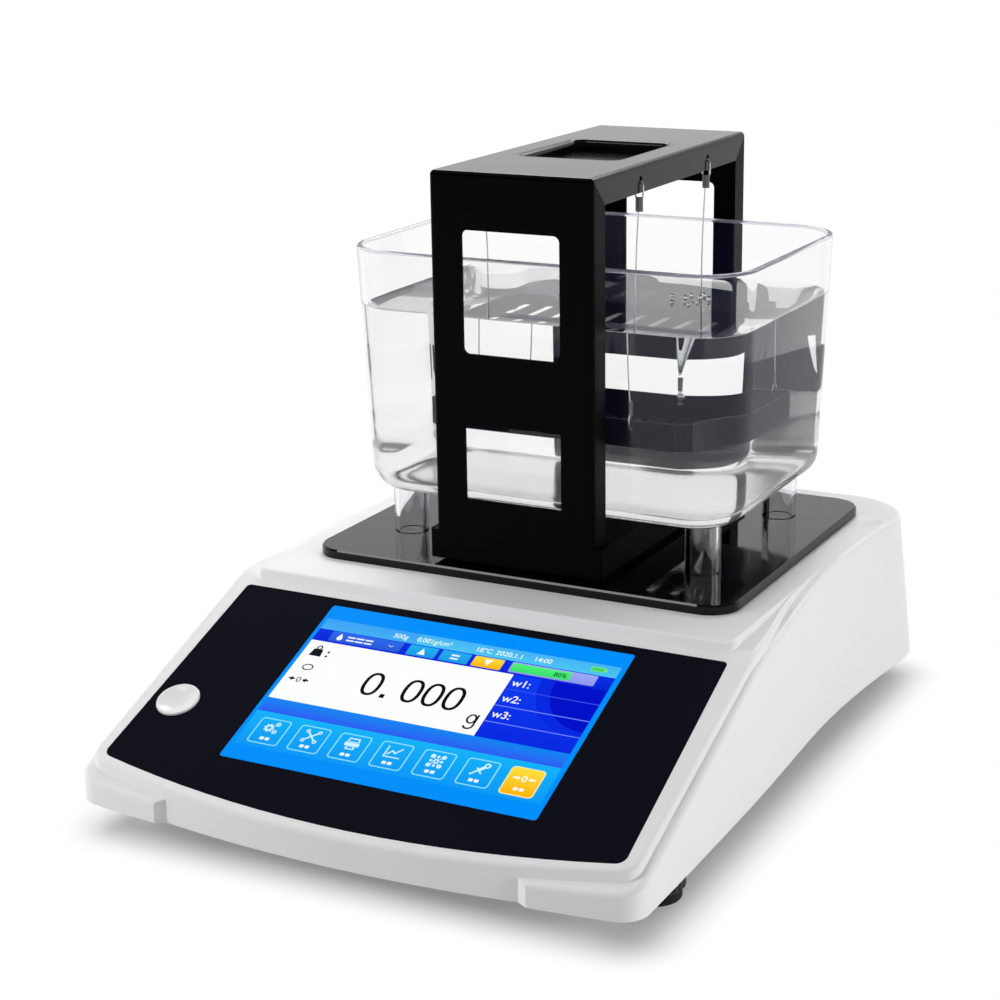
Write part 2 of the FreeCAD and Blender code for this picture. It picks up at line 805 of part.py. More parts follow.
def frame_top():
    w = frame_half_width
    high = plate_top + frame_height
    web = box(-w, w, frame_front_y, frame_rear_y, high - sheet, high)
    sides = [box(min(s * w, s * (w - sheet)), max(s * w, s * (w - sheet)), frame_front_y, frame_rear_y,
                 high - flange, high) for s in (-1, 1)]
    panel = joined([web] + sides).common(frame_envelope())
    for outer_y, inward in ((frame_front_y, 1), (frame_rear_y, -1)):
        tip = V(-span / 2, outer_y + inward * mitre_gap, high)
        wedge = [tip, V(tip.x, outer_y - inward * 60, high), V(tip.x, outer_y - inward * 60, high - 60),
                 V(tip.x, tip.y + inward * 60, high - 60)]
        panel = panel.cut(prism(closed(wedge), V(span, 0, 0)))
    opening = pan_blank(pan_gap, high - 10, high + 5)
    panel = panel.cut(opening)
    for x, y in hook_places().values():
        panel = panel.cut(Part.makeCylinder(hook_hole_diameter / 2, 8, V(x - 4, y, hook_hole_z()), V(1, 0, 0)))
    return panel


def pan_blank(gap, z0, z1):
    block = box(-pan_half_width - gap, pan_half_width + gap, middle_y - pan_half_length - gap,
                middle_y + pan_half_length + gap, z0, z1)
    return block.makeFillet(pan_round + gap, edges_where(block, upright))


def sample_pan():
    high = plate_top + frame_height
    pan = pan_blank(0, high - pan_depth - pan_sheet, high)
    pan = pan.cut(pan_blank(-pan_rim, high - pan_depth, high + 5))
    lip = edges_where(pan, lambda e: e.BoundBox.ZMin > high - 0.1 and e.BoundBox.XMax < pan_half_width - pan_sheet
                      and e.BoundBox.XMin > pan_sheet - pan_half_width
                      and e.BoundBox.YMax < middle_y + pan_half_length - pan_sheet
                      and e.BoundBox.YMin > middle_y - pan_half_length + pan_sheet)
    return pan.makeFillet(pan_lip_round, lip)


def frame_base_bar():
    low = plate_top + bar_lift
    bar = box(-bar_half_width, bar_half_width, frame_front_y, frame_rear_y, low, bar_top())
    rounds = edges_where(bar, lambda e: upright(e))
    bar = bar.makeFillet(bar_round, rounds)
    inner = box(-bar_half_width + bar_sheet, bar_half_width - bar_sheet, frame_front_y + bar_sheet,
                frame_rear_y - bar_sheet, low - 1, bar_top() - bar_sheet)
    bar = bar.cut(inner)
    for x, y in load_post_places():
        bar = bar.cut(post(bar_screw_diameter + 2 * thread_gap, x, y, low, bar_top() + 1))
    return bar


def bar_screws():
    shapes = []
    for x, y in load_post_places():
        head = post(bar_screw_head, x, y, bar_top(), bar_top() + bar_screw_head_height)
        shank = post(bar_screw_diameter, x, y, bar_top() - bar_screw_length, bar_top())
        shapes.append(joined([head, shank]))
    return Part.makeCompound(shapes)


def carrier_z():
    return cell_bottom + cell_height + carrier_gap


def load_posts():
    low = carrier_z() + carrier_thickness
    shapes = []
    for x, y in load_post_places():
        column = post(load_post_diameter, x, y, low, bar_top() - bar_sheet)
        bore = post(bar_screw_diameter + 2 * thread_gap, x, y, bar_top() - bar_screw_length - 1, bar_top())
        shapes.append(column.cut(bore))
    return Part.makeCompound(shapes)


def carrier_screw_places():
    return [(0, middle_y - cell_screw_pitch / 2), (0, middle_y + cell_screw_pitch / 2)]


def load_carrier():
    plate = box(-carrier_width / 2, carrier_width / 2, middle_y - carrier_length / 2, middle_y + carrier_length / 2,
                carrier_z(), carrier_z() + carrier_thickness)
    plate = plate.makeFillet(3, edges_where(plate, upright))
    for x, y in carrier_screw_places():
        plate = plate.cut(post(cell_screw_diameter + 2 * thread_gap, x, y, carrier_z() - 1, carrier_z() + 20))
    return plate


def carrier_screws():
    top = carrier_z() + carrier_thickness
    shapes = []
    for x, y in carrier_screw_places():
        head = post(cell_head_diameter, x, y, top, top + cell_head_height)
        shank = post(cell_screw_diameter, x, y, cell_bottom + 8, top)
        shapes.append(joined([head, shank]))
    return Part.makeCompound(shapes)


def cell_start():
    return middle_y - cell_overhang


def cell_screw_places():
    end = cell_start() + cell_length - mount_length / 2
    return [(0, end - cell_screw_pitch / 2), (0, end + cell_screw_pitch / 2)]


def load_cell():
    """Binocular beam: the rear end is bolted down and the front end carries the weighing frame."""
    y0 = cell_start()
    beam = box(-cell_width / 2, cell_width / 2, y0, y0 + cell_length, cell_bottom, cell_bottom + cell_height)
    mid_y = y0 + cell_length / 2
    mid_z = cell_bottom + cell_height / 2
    for y in (mid_y - cell_hole_pitch / 2, mid_y + cell_hole_pitch / 2):
        beam = beam.cut(Part.makeCylinder(cell_hole_radius, cell_width, V(-cell_width / 2, y, mid_z), V(1, 0, 0)))
    beam = beam.cut(box(-cell_width, cell_width, mid_y - cell_hole_pitch / 2, mid_y + cell_hole_pitch / 2,
                        mid_z - cell_slot / 2, mid_z + cell_slot / 2))
    for x, y in carrier_screw_places() + cell_screw_places():
        beam = beam.cut(post(cell_screw_diameter + 2 * thread_gap, x, y, 0, 200))
    return beam


def load_cell_mount():
    end = cell_start() + cell_length
    block = box(-mount_width / 2, mount_width / 2, end - mount_length, end, floor_z, cell_bottom)
    for x, y in cell_screw_places():
        block = block.cut(post(cell_screw_diameter + 2 * thread_gap, x, y, floor_z + 6, 200))
    return block


def cell_screws():
    top = cell_bottom + cell_height
    shapes = []
    for x, y in cell_screw_places():
        head = post(cell_head_diameter, x, y, top, top + cell_head_height)
        shank = post(cell_screw_diameter, x, y, floor_z + 7, top)
        shapes.append(joined([head, shank]))
    return Part.makeCompound(shapes)


# Hanging tray, its wires and sleeves

def tray_top_z():
    return plate_top + tray_bottom_z + tray_height


def tray_blank(inset, z0, z1):
    x, y, c = tray_half_width - inset, tray_half_depth - inset, tray_corner - inset * 0.4
    ring = [(x, c - y), (x, y - c), (x - c, y), (c - x, y), (-x, y - c), (-x, c - y), (c - x, -y), (x - c, -y)]
    return prism(closed([V(a, b + hang_y, z0) for a, b in ring]), V(0, 0, z1 - z0))


def immersed_tray():
    low = plate_top + tray_bottom_z
    tray = tray_blank(0, low, tray_top_z()).cut(tray_blank(tray_sheet, low + tray_sheet, tray_top_z() + 5))
    for i in range(tray_slot_count):
        x = (i - (tray_slot_count - 1) / 2) * tray_slot_pitch
        for y in (hang_y - tray_slot_row, hang_y + tray_slot_row):
            slot = box(x - tray_slot_width / 2, x + tray_slot_width / 2, y - tray_slot_length / 2,
                       y + tray_slot_length / 2, low - 1, low + tray_sheet + 1)
            tray = tray.cut(slot.makeFillet(tray_slot_width * 0.45, edges_where(slot, upright)))
    for x, y in hook_places().values():
        tray = tray.cut(Part.makeCylinder(tray_hole_diameter / 2, 8, V(x, y - 4, tray_hole_z()), V(0, 1, 0)))
    return tray


def tray_hole_z():
    return tray_top_z() - tray_hole_drop


def tray_pivot_z():
    """Middle of the small ring's wire where the upper edge of the tray's hole rests on it."""
    return tray_hole_z() + (tray_hole_diameter - ring_wire_diameter) / 2 - ring_seat_gap


def loop_bottom_z():
    return hook_pivot_z() - hook_loop_height


def upper_sleeve_top():
    return loop_bottom_z() + sleeve_overlap


def lower_sleeve_bottom():
    return tray_pivot_z() + 2 * ring_radius - ring_wire_diameter / 2


def hook_loop(x, y):
    """Long narrow loop of wire, rounded at both ends, in the plane across the flange."""
    r = hook_loop_radius
    high = hook_pivot_z() - r
    low = loop_bottom_z() + r
    upper = Part.makeTorus(r, hook_wire_diameter / 2, V(x, y, high), V(0, 1, 0))
    lower = Part.makeTorus(r, hook_wire_diameter / 2, V(x, y, low), V(0, 1, 0))
    reach = 2 * r
    upper = upper.common(box(x - reach, x + reach, y - reach, y + reach, high, high + reach))
    lower = lower.common(box(x - reach, x + reach, y - reach, y + reach, low - reach, low))
    strands = [post(hook_wire_diameter, x + side * r, y, low, high) for side in (-1, 1)]
    return joined([upper, lower] + strands)


def bowed_wire(x, y, z0, z1):
    """Thin wire along a shallow arc that bows towards the mirror plane."""
    middle = V(x - math.copysign(wire_bow, x), y, (z0 + z1) / 2)
    path = Part.Wire(arc(V(x, y, z0), middle, V(x, y, z1)))
    start = path.Edges[0].tangentAt(path.Edges[0].FirstParameter)
    ring = Part.Wire(Part.makeCircle(wire_diameter / 2, V(x, y, z0), start))
    return path.makePipeShell([ring], True, True)


def hanger_wire(x, y):
    """Hook loop through the flange, the wire, and a small ring through the tray's wall."""
    ring = Part.makeTorus(ring_radius, ring_wire_diameter / 2, V(x, y, tray_pivot_z() + ring_radius), V(1, 0, 0))
    wire = bowed_wire(x, y, tray_pivot_z() + 2 * ring_radius, loop_bottom_z())
    return joined([hook_loop(x, y), wire, ring])


def wire_sleeves(x, y):
    wire = hanger_wire(x, y)
    high = post(sleeve_diameter, x, y, upper_sleeve_top() - sleeve_length, upper_sleeve_top())
    low = post(lower_sleeve_diameter, x, y, lower_sleeve_bottom(), lower_sleeve_bottom() + lower_sleeve_length)
    return Part.makeCompound([max(s.cut(wire).Solids, key=lambda t: t.Volume) for s in (high, low)])


# Electronics

def main_board():
    z = floor_z + standoff_height
    return box(board_x - board_width / 2, board_x + board_width / 2, board_y - board_depth / 2,
               board_y + board_depth / 2, z, z + board_thickness)


def board_standoffs():
    dx, dy = board_width / 2 - standoff_inset, board_depth / 2 - standoff_inset
    return Part.makeCompound([post(standoff_diameter, board_x + sx * dx, board_y + sy * dy, floor_z,
                                   floor_z + standoff_height) for sx in (-1, 1) for sy in (-1, 1)])


def board_components():
    z = floor_z + standoff_height + board_thickness
    left = board_x - board_width / 2 + 2 * standoff_inset
    front = board_y - board_depth / 2 + 2 * standoff_inset
    back = board_y + board_depth / 2 - 2 * standoff_inset
    right = board_x + board_width / 2 - 2 * standoff_inset
    chip = box(board_x - chip_size / 2, board_x + chip_size / 2, board_y - chip_size / 2, board_y + chip_size / 2,
               z, z + chip_thickness)
    driver = box(right - driver_length, right, front, front + driver_width, z, z + driver_thickness)
    header = box(left, left + header_length, back - driver_width, back, z, z + header_height)
    cans = [post(can_diameter, right - i * can_pitch, back - can_diameter / 2, z, z + can_height) for i in range(3)]
    return Part.makeCompound([chip, driver, header] + cans)


def battery_pack():
    pack = box(battery_x - battery_width / 2, battery_x + battery_width / 2, battery_y - battery_depth / 2,
               battery_y + battery_depth / 2, floor_z, floor_z + battery_height)
    return pack.makeFillet(3.0, edges_where(pack, upright))


def rear_face_y(z):
    return rear_y - rear_lean * (z - cover_bottom) / (platform_z - cover_bottom)


def jack_body(gap):
    half = jack_width / 2 + gap
    back = rear_face_y(jack_z) - port_sunk + (5 if gap else 0)
    return box(jack_x - half, jack_x + half, back - jack_length - (5 if gap else 0), back, jack_z - half, jack_z + half)


def power_inlet():
    back = rear_face_y(jack_z) - port_sunk
    bore = Part.makeCylinder(jack_bore / 2, jack_bore_depth, V(jack_x, back - jack_bore_depth, jack_z), V(0, 1, 0))
    pin = Part.makeCylinder(jack_pin / 2, jack_bore_depth - 1, V(jack_x, back - jack_bore_depth, jack_z), V(0, 1, 0))
    return jack_body(0).cut(bore.cut(pin))


def port_body(gap):
    half_w, half_h = port_width / 2 + gap, port_height / 2 + gap
    back = rear_face_y(jack_z) - port_sunk + (5 if gap else 0)
    return box(port_x - half_w, port_x + half_w, back - port_length - (5 if gap else 0), back,
               jack_z - half_h, jack_z + half_h)


def data_port():
    back = rear_face_y(jack_z) - port_sunk
    collar = box(port_x - port_face_width / 2, port_x + port_face_width / 2, back, back + port_face_proud,
                 jack_z - port_face_height / 2, jack_z + port_face_height / 2)
    collar = collar.makeFillet(2.0, edges_where(collar, lambda e: e.BoundBox.YLength > 1))
    well = box(port_x - port_face_width / 2 + 0.8, port_x + port_face_width / 2 - 0.8, back - 3,
               back + port_face_proud + 1, jack_z - port_face_height / 2 + 0.8, jack_z + port_face_height / 2 - 0.8)
    return joined([port_body(0), collar]).cut(well)


pieces = {
    "upper_cover": upper_cover, "bottom_cover": bottom_cover, "cover_screws": cover_screws,
    "foot_inserts": foot_inserts, "overlay_panel": overlay_panel, "touch_screen": touch_screen,
    "display_module": display_module, "display_bracket": display_bracket, "power_button": power_button,
    "switch_plunger": switch_plunger, "switch_body": switch_body, "tank_plate": tank_plate, "tank": tank,
    "tank_legs": tank_legs, "frame_front": frame_front, "frame_rear": frame_rear, "frame_top": frame_top,
    "sample_pan": sample_pan, "frame_base_bar": frame_base_bar, "bar_screws": bar_screws,
    "load_posts": load_posts, "load_carrier": load_carrier, "carrier_screws": carrier_screws,
    "load_cell": load_cell, "load_cell_mount": load_cell_mount, "cell_screws": cell_screws,
    "immersed_tray": immersed_tray, "main_board": main_board, "board_standoffs": board_standoffs,
    "board_components": board_components, "battery_pack": battery_pack, "power_inlet": power_inlet,
    "data_port": data_port,
}

for name, make in pieces.items():
    save(name, make())
for corner, (x, y) in foot_places().items():
    save(corner + "_foot_pad", foot_pad(x, y))
    save(corner + "_foot_screw", foot_screw(x, y))
for corner, (x, y) in hook_places().items():
    save(corner + "_wire", hanger_wire(x, y))
    save(corner + "_sleeves", wire_sleeves(x, y))
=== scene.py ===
import bpy
import math
import numpy as np
from mathutils import Matrix, Vector


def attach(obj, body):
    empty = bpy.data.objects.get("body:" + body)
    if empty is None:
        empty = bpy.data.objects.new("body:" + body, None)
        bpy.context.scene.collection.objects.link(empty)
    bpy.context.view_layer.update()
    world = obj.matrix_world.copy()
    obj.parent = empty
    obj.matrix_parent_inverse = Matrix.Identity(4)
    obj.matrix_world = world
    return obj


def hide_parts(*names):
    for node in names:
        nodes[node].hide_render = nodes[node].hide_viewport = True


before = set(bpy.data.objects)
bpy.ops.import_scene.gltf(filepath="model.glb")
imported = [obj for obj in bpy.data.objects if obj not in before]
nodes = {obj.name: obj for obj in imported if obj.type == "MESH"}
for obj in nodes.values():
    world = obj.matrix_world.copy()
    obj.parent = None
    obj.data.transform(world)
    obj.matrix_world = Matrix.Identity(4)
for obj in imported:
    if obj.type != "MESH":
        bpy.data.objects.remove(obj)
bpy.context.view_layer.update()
mm = 0.001


# a hex colour as linear light, with the curve of sRGB undone
def linear(hexColour):
    parts = [int(hexColour[i:i + 2], 16) / 255 for i in (1, 3, 5)]
    return tuple(c / 12.92 if c <= 0.04045 else ((c + 0.055) / 1.055) ** 2.4 for c in parts) + (1.0,)


# an empty node material and its tree
def newMaterial(name):
    material = bpy.data.materials.new(name)
    material.use_nodes = True
    material.node_tree.nodes.clear()
    return material, material.node_tree


# adds one node, with its own settings and its inputs, each a value or another node's output
def addNode(tree, kind, settings=None, inputs=None):
    node = tree.nodes.new(kind)
    for name, value in (settings or {}).items():
        setattr(node, name, value)
    for name, value in (inputs or {}).items():
        if isinstance(value, bpy.types.NodeSocket):
            tree.links.new(value, node.inputs[name])
        else:
            node.inputs[name].default_value = value
    return node


# noise of a given real grain size, read from the object's own coordinates
def grain(tree, sizeMm, detail=2.0, stretch=(1.0, 1.0, 1.0)):
    where = addNode(tree, "ShaderNodeTexCoord").outputs["Object"]
    placed = addNode(tree, "ShaderNodeMapping", inputs={"Vector": where, "Scale": stretch})
    return addNode(tree, "ShaderNodeTexNoise",
                   inputs={"Vector": placed.outputs[0], "Scale": 1000 / sizeMm, "Detail": detail})


# puts a finish on every slot of the named solids
def dress(material, *names):
    for name in names:
        for slot in nodes[name].material_slots:
            slot.material = material


# makes a mesh object from whole arrays of points and faces, and lets it ride on a body
def addPiece(name, points, faces, material, body, smooth=True):
    mesh = bpy.data.meshes.new(name)
    mesh.from_pydata(np.asarray(points, float).tolist(), [], [list(map(int, face)) for face in faces])
    mesh.validate()
    mesh.polygons.foreach_set("use_smooth", np.full(len(mesh.polygons), smooth))
    mesh.materials.append(material)
    mesh.update()
    piece = bpy.data.objects.new(name, mesh)
    bpy.context.scene.collection.objects.link(piece)
    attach(piece, body)
    return piece


# faces of a grid of points with the given rows and columns, whose columns close on themselves
def gridFaces(rows, columns, start=0):
    i, j = np.meshgrid(np.arange(rows - 1), np.arange(columns), indexing="ij")
    a = start + i * columns + j
    b = start + i * columns + (j + 1) % columns
    return np.stack([a, b, b + columns, a + columns], -1).reshape(-1, 4)


# camera, at the place and lens worked out from the straight edges of the plate, panel and frame

view = {"place": (0.449616, -0.876766, 0.414373), "turn": 28.01, "down": 16.48, "roll": -0.92, "lens": 78.765,
        "sensor": 36, "nearest": 0.05, "bounces": 24}


# turns the camera about the upright, tilts it down and rolls it about its own sight line
def setCamera():
    turn, down, roll = (math.radians(view[key]) for key in ("turn", "down", "roll"))
    back = Vector((math.sin(turn) * math.cos(down), -math.cos(turn) * math.cos(down), math.sin(down)))
    right = Vector((math.cos(turn), math.sin(turn), 0))
    up = back.cross(right)
    rightRolled = math.cos(roll) * right + math.sin(roll) * up
    upRolled = math.cos(roll) * up - math.sin(roll) * right
    data = bpy.data.cameras.new("camera")
    data.lens = view["lens"]
    data.sensor_width = view["sensor"]
    data.clip_start = view["nearest"]
    camera = bpy.data.objects.new("camera", data)
    axes = Matrix((rightRolled, upRolled, back)).transposed().to_4x4()
    camera.matrix_world = Matrix.Translation(view["place"]) @ axes
    bpy.context.scene.collection.objects.link(camera)
    bpy.context.scene.camera = camera


setCamera()
bpy.context.scene.view_settings.view_transform = "Standard"
for kind in ("max_bounces", "transmission_bounces", "transparent_max_bounces"):
    setattr(bpy.context.scene.cycles, kind, view["bounces"])
print("camera set")


# room: white backdrop, pale floor, soft lamps

# ambient is the room's light on the object, and dimSide is what gloss mirrors away from the backdrop; the floor's
# glow near the object turns to white past its footprint
room = {
    "ambient": 0.035, "dimSide": 0.12,
    "backdropWay": (-0.47, 0.883, 0.0), "backdropSide": 0.5, "backdropTop": (0.35, 0.8),
    "floorHalf": 5.0, "paper": "#CCCCCC", "fibreMm": 3.0, "fibreTone": 0.01,
    "nearGlow": 0.14, "footprint": (0.12, 0.16, 0.0), "fade": 0.035,
}
lampAim = (0, 0, 0.12)
lamps = {
    "leftKey": {"place": (-0.94, -0.69, 1.9), "aim": (-0.94, -0.69, 0), "size": (0.8, 0.2), "watts": 4,
                "mirrored": True},
    "overheadKey": {"place": (-0.4, 0.2, 1.9), "aim": lampAim, "size": (1.2, 1.0), "watts": 9, "mirrored": False},
    "backStrip": {"place": (-0.55, 2.1, 1.9), "aim": lampAim, "size": (2.4, 0.9), "watts": 40, "mirrored": True},
    "rightFill": {"place": (1.7, -0.15, 0.4), "aim": lampAim, "size": (0.9, 0.6), "watts": 17, "mirrored": False},
    "leftFill": {"place": (-1.55, -1.15, 0.7), "aim": lampAim, "size": (1.2, 0.9), "watts": 26, "mirrored": False},
}


# 1 in the low part of the room behind the object, where the lit paper hangs, and 0 above and in front
def backdropShare(tree, way):
    behind = addNode(tree, "ShaderNodeVectorMath", {"operation": "DOT_PRODUCT"},
                     {0: way, 1: room["backdropWay"]}).outputs["Value"]
    behind = addNode(tree, "ShaderNodeMapRange", {"interpolation_type": "SMOOTHSTEP"}, {
        "Value": behind, "From Min": 0.0, "From Max": room["backdropSide"]}).outputs[0]
    height = addNode(tree, "ShaderNodeSeparateXYZ", inputs={0: way}).outputs["Z"]
    lowest, highest = room["backdropTop"]
    low = addNode(tree, "ShaderNodeMapRange", {"interpolation_type": "SMOOTHSTEP"}, {
        "Value": height, "From Min": lowest, "From Max": highest, "To Min": 1.0, "To Max": 0.0}).outputs[0]
    return addNode(tree, "ShaderNodeMath", {"operation": "MULTIPLY"}, {0: behind, 1: low}).outputs[0]


# 1 for rays that come straight from the camera or through a clear piece
def seenDirectly(tree, path):
    return addNode(tree, "ShaderNodeMath", {"operation": "MAXIMUM"}, {
        0: path.outputs["Is Camera Ray"], 1: path.outputs["Is Transmission Ray"]}).outputs[0]


# the room: white for the eye and behind the object, dim for gloss elsewhere, and faint as light
def setWorld():
    world = bpy.data.worlds.new("studio")
    world.use_nodes = True
    tree = world.node_tree
    tree.nodes.clear()
    path = addNode(tree, "ShaderNodeLightPath")
    way = addNode(tree, "ShaderNodeTexCoord").outputs["Generated"]
    mirrored = addNode(tree, "ShaderNodeMix", {"data_type": "FLOAT"}, {
        "Factor": backdropShare(tree, way), 2: room["dimSide"], 3: 1.0})
    indirect = addNode(tree, "ShaderNodeMix", {"data_type": "FLOAT"}, {
        "Factor": path.outputs["Is Glossy Ray"], 2: room["ambient"], 3: mirrored.outputs[0]})
    strength = addNode(tree, "ShaderNodeMix", {"data_type": "FLOAT"}, {
        "Factor": seenDirectly(tree, path), 2: indirect.outputs[0], 3: 1.0})
    sky = addNode(tree, "ShaderNodeBackground", inputs={"Color": (1, 1, 1, 1), "Strength": strength.outputs[0]})
    addNode(tree, "ShaderNodeOutputWorld", inputs={"Surface": sky.outputs[0]})
    bpy.context.scene.world = world


# matt paper roll: a glow lifts it near the object, where it takes shadow, and it fades to white away from it
def setFloor():
    half = room["floorHalf"]
    material, tree = newMaterial("paper_backdrop")
    path = addNode(tree, "ShaderNodeLightPath")
    where = addNode(tree, "ShaderNodeTexCoord").outputs["Object"]
    spread = addNode(tree, "ShaderNodeVectorMath", {"operation": "ABSOLUTE"}, {0: where})
    outside = addNode(tree, "ShaderNodeVectorMath", {"operation": "SUBTRACT"}, {
        0: spread.outputs[0], 1: room["footprint"]})
    beyond = addNode(tree, "ShaderNodeVectorMath", {"operation": "MAXIMUM"}, {
        0: outside.outputs[0], 1: (0, 0, 0)})
    away = addNode(tree, "ShaderNodeVectorMath", {"operation": "LENGTH"}, {
        0: beyond.outputs[0]}).outputs["Value"]
    far = addNode(tree, "ShaderNodeMapRange", {"interpolation_type": "SMOOTHSTEP"}, {
        "Value": away, "From Min": 0.0, "From Max": room["fade"]})
    seen = addNode(tree, "ShaderNodeMath", {"operation": "MAXIMUM"}, {
        0: seenDirectly(tree, path), 1: path.outputs["Is Glossy Ray"]})
    share = addNode(tree, "ShaderNodeMath", {"operation": "MULTIPLY"}, {0: seen.outputs[0], 1: far.outputs[0]})
    nearGlow = addNode(tree, "ShaderNodeMath", {"operation": "MULTIPLY"}, {
        0: seen.outputs[0], 1: room["nearGlow"]})
    fibre = grain(tree, room["fibreMm"])
    tone = addNode(tree, "ShaderNodeMapRange", inputs={
        "Value": fibre.outputs["Fac"], "To Min": 1 - room["fibreTone"], "To Max": 1 + room["fibreTone"]})
    colour = addNode(tree, "ShaderNodeVectorMath", {"operation": "SCALE"}, {
        0: linear(room["paper"])[:3], "Scale": tone.outputs[0]})
    paper = addNode(tree, "ShaderNodeBsdfDiffuse", inputs={"Color": colour.outputs[0]})
    glow = addNode(tree, "ShaderNodeEmission", inputs={"Color": (1, 1, 1, 1), "Strength": nearGlow.outputs[0]})
    white = addNode(tree, "ShaderNodeEmission", inputs={"Color": (1, 1, 1, 1), "Strength": 1.0})
    lifted = addNode(tree, "ShaderNodeAddShader", inputs={0: paper.outputs[0], 1: glow.outputs[0]})
    both = addNode(tree, "ShaderNodeMixShader", inputs={
        0: share.outputs[0], 1: lifted.outputs[0], 2: white.outputs[0]})
    addNode(tree, "ShaderNodeOutputMaterial", inputs={"Surface": both.outputs[0]})
    mesh = bpy.data.meshes.new("floor")
    corners = [(-half, -half, 0), (half, -half, 0), (half, half, 0), (-half, half, 0)]
    mesh.from_pydata(corners, [], [(0, 1, 2, 3)])
    mesh.materials.append(material)
    floor = bpy.data.objects.new("floor", mesh)
    bpy.context.scene.collection.objects.link(floor)


# soft rectangular lamps that the camera does not see; only the mirrored ones show in gloss
def setLamps():
    for name, lamp in lamps.items():
        data = bpy.data.lights.new(name, "AREA")
        data.shape = "RECTANGLE"
        data.size, data.size_y = lamp["size"]
        data.energy = lamp["watts"]
        light = bpy.data.objects.new(name, data)
        light.location = lamp["place"]
        way = Vector(lamp["aim"]) - Vector(lamp["place"])
        light.rotation_euler = way.to_track_quat("-Z", "Y").to_euler()
        light.visible_camera = False
        light.visible_transmission = False
        light.visible_glossy = lamp["mirrored"]
        bpy.context.scene.collection.objects.link(light)


setWorld()
setFloor()
setLamps()
print("room set")


driftMm = 35.0


# Finish of a solid. Colour and roughness drift a little over centimetres, and a fine grain of real size lifts the
# surface. A flat sheet is lit by its true faces, so that its level parts mirror evenly up to their edges.
def finish(name, colour, roughness, ior=1.5, metallic=0.0, grainMm=0.5, bump=0.02, tone=0.04, spread=0.05,
           stretch=(1.0, 1.0, 1.0), flat=False):
    material, tree = newMaterial(name)
    base = linear(colour)[:3]
    broad = grain(tree, driftMm, detail=3.0)
    fine = grain(tree, grainMm, stretch=stretch)
    low = tuple(c * (1 - tone) for c in base) + (1,)
    high = tuple(min(1.0, c * (1 + tone)) for c in base) + (1,)
    shade = addNode(tree, "ShaderNodeMix", {"data_type": "RGBA"},
                    {"Factor": broad.outputs["Fac"], 6: low, 7: high})
    rough = addNode(tree, "ShaderNodeMapRange", inputs={
        "Value": fine.outputs["Fac"], "To Min": roughness - spread, "To Max": roughness + spread})
    height = addNode(tree, "ShaderNodeBump", inputs={
        "Height": fine.outputs["Fac"], "Strength": 1.0, "Distance": bump * mm})
    if flat:
        tree.links.new(addNode(tree, "ShaderNodeNewGeometry").outputs["True Normal"], height.inputs["Normal"])
    sockets = {"Base Color": shade.outputs[2], "Roughness": rough.outputs[0], "Normal": height.outputs[0],
               "Metallic": metallic}
    if not metallic:
        sockets["IOR"] = ior
    surface = addNode(tree, "ShaderNodeBsdfPrincipled", inputs=sockets)
    addNode(tree, "ShaderNodeOutputMaterial", inputs={"Surface": surface.outputs[0]})
    return material


# white ABS, injection moulded in a spark-textured tool: an even satin with no sharp reflections
whiteAbs = finish("white_abs_moulded", "#F3F3F3", 0.42, ior=1.5, grainMm=0.6, bump=0.01, tone=0.01)
# the button is the same plastic from a polished tool, so it is smoother
buttonAbs = finish("white_abs_polished", "#F1F1F2", 0.22, ior=1.5, grainMm=0.8, bump=0.004, tone=0.01)
# back-printed polycarbonate film on the panel: even blue-black, dull gloss
panelFilm = finish("printed_film_blue_black", "#12121C", 0.3, ior=1.08, grainMm=0.4, bump=0.003, tone=0.04)
# powder-coated steel sheet, semi-matt black with a fine orange peel
powderCoat = finish("powder_coated_steel_black", "#020202", 0.38, ior=1.12, grainMm=1.1, bump=0.02, tone=0.1)
# a lit copy of the black coat, for the frame's top and the pan: painted lighter as painted sheen, and glossier
litTopCoat = finish("powder_coated_steel_lit_top", "#0C0C0C", 0.16, ior=1.25, grainMm=1.1, bump=0.004, tone=0.1,
                   flat=True)
# cast acrylic plate, black through, fire-polished: a mirror at a low angle
blackAcrylic = finish("cast_acrylic_black", "#050506", 0.05, ior=1.36, grainMm=20.0, bump=0.004, tone=0.1,
                      spread=0.01, flat=True)
# tray of moulded black polypropylene
trayPlastic = finish("black_polypropylene", "#090A10", 0.35, ior=1.12, grainMm=1.5, bump=0.02, tone=0.1)
# drawn stainless wire, bright with fine lines along it
drawnWire = finish("drawn_stainless_wire", "#C9CCCF", 0.25, metallic=1.0, grainMm=0.3, bump=0.004,
                   stretch=(1.0, 1.0, 0.1))
# crimped copper-alloy sleeve, tinned and slightly dull, painted darker than tin as painted reflection of dim
# surroundings
darkenedSleeve = finish("tinned_crimp_sleeve_painted_dark", "#66686A", 0.34, metallic=1.0, grainMm=0.5, bump=0.02, tone=0.1)
# black nylon, moulded, on the feet
blackNylon = finish("black_nylon_moulded", "#141414", 0.5, ior=1.5, grainMm=0.6, bump=0.02, tone=0.1)
# rubber, moulded: dull and even
softRubber = finish("black_rubber", "#1A1A1A", 0.8, ior=1.5, grainMm=0.8, bump=0.05, tone=0.15)
# zinc-plated screws: pale and a little dull
zincSteel = finish("zinc_plated_steel", "#B9BABB", 0.32, metallic=1.0, grainMm=0.5, bump=0.01, tone=0.06)
# turned stainless posts, with rings from the tool round them
turnedSteel = finish("turned_stainless", "#C4C5C6", 0.28, metallic=1.0, grainMm=0.3, bump=0.006,
                     stretch=(0.1, 0.1, 1.0))
# galvanised sheet, with broad pale spangles
bentSteel = finish("galvanised_sheet", "#A9ABAC", 0.4, metallic=1.0, grainMm=6.0, bump=0.02, tone=0.12)
# turned brass: warm and bright
turnedBrass = finish("turned_brass", "#C8A552", 0.3, metallic=1.0, grainMm=0.4, bump=0.006)
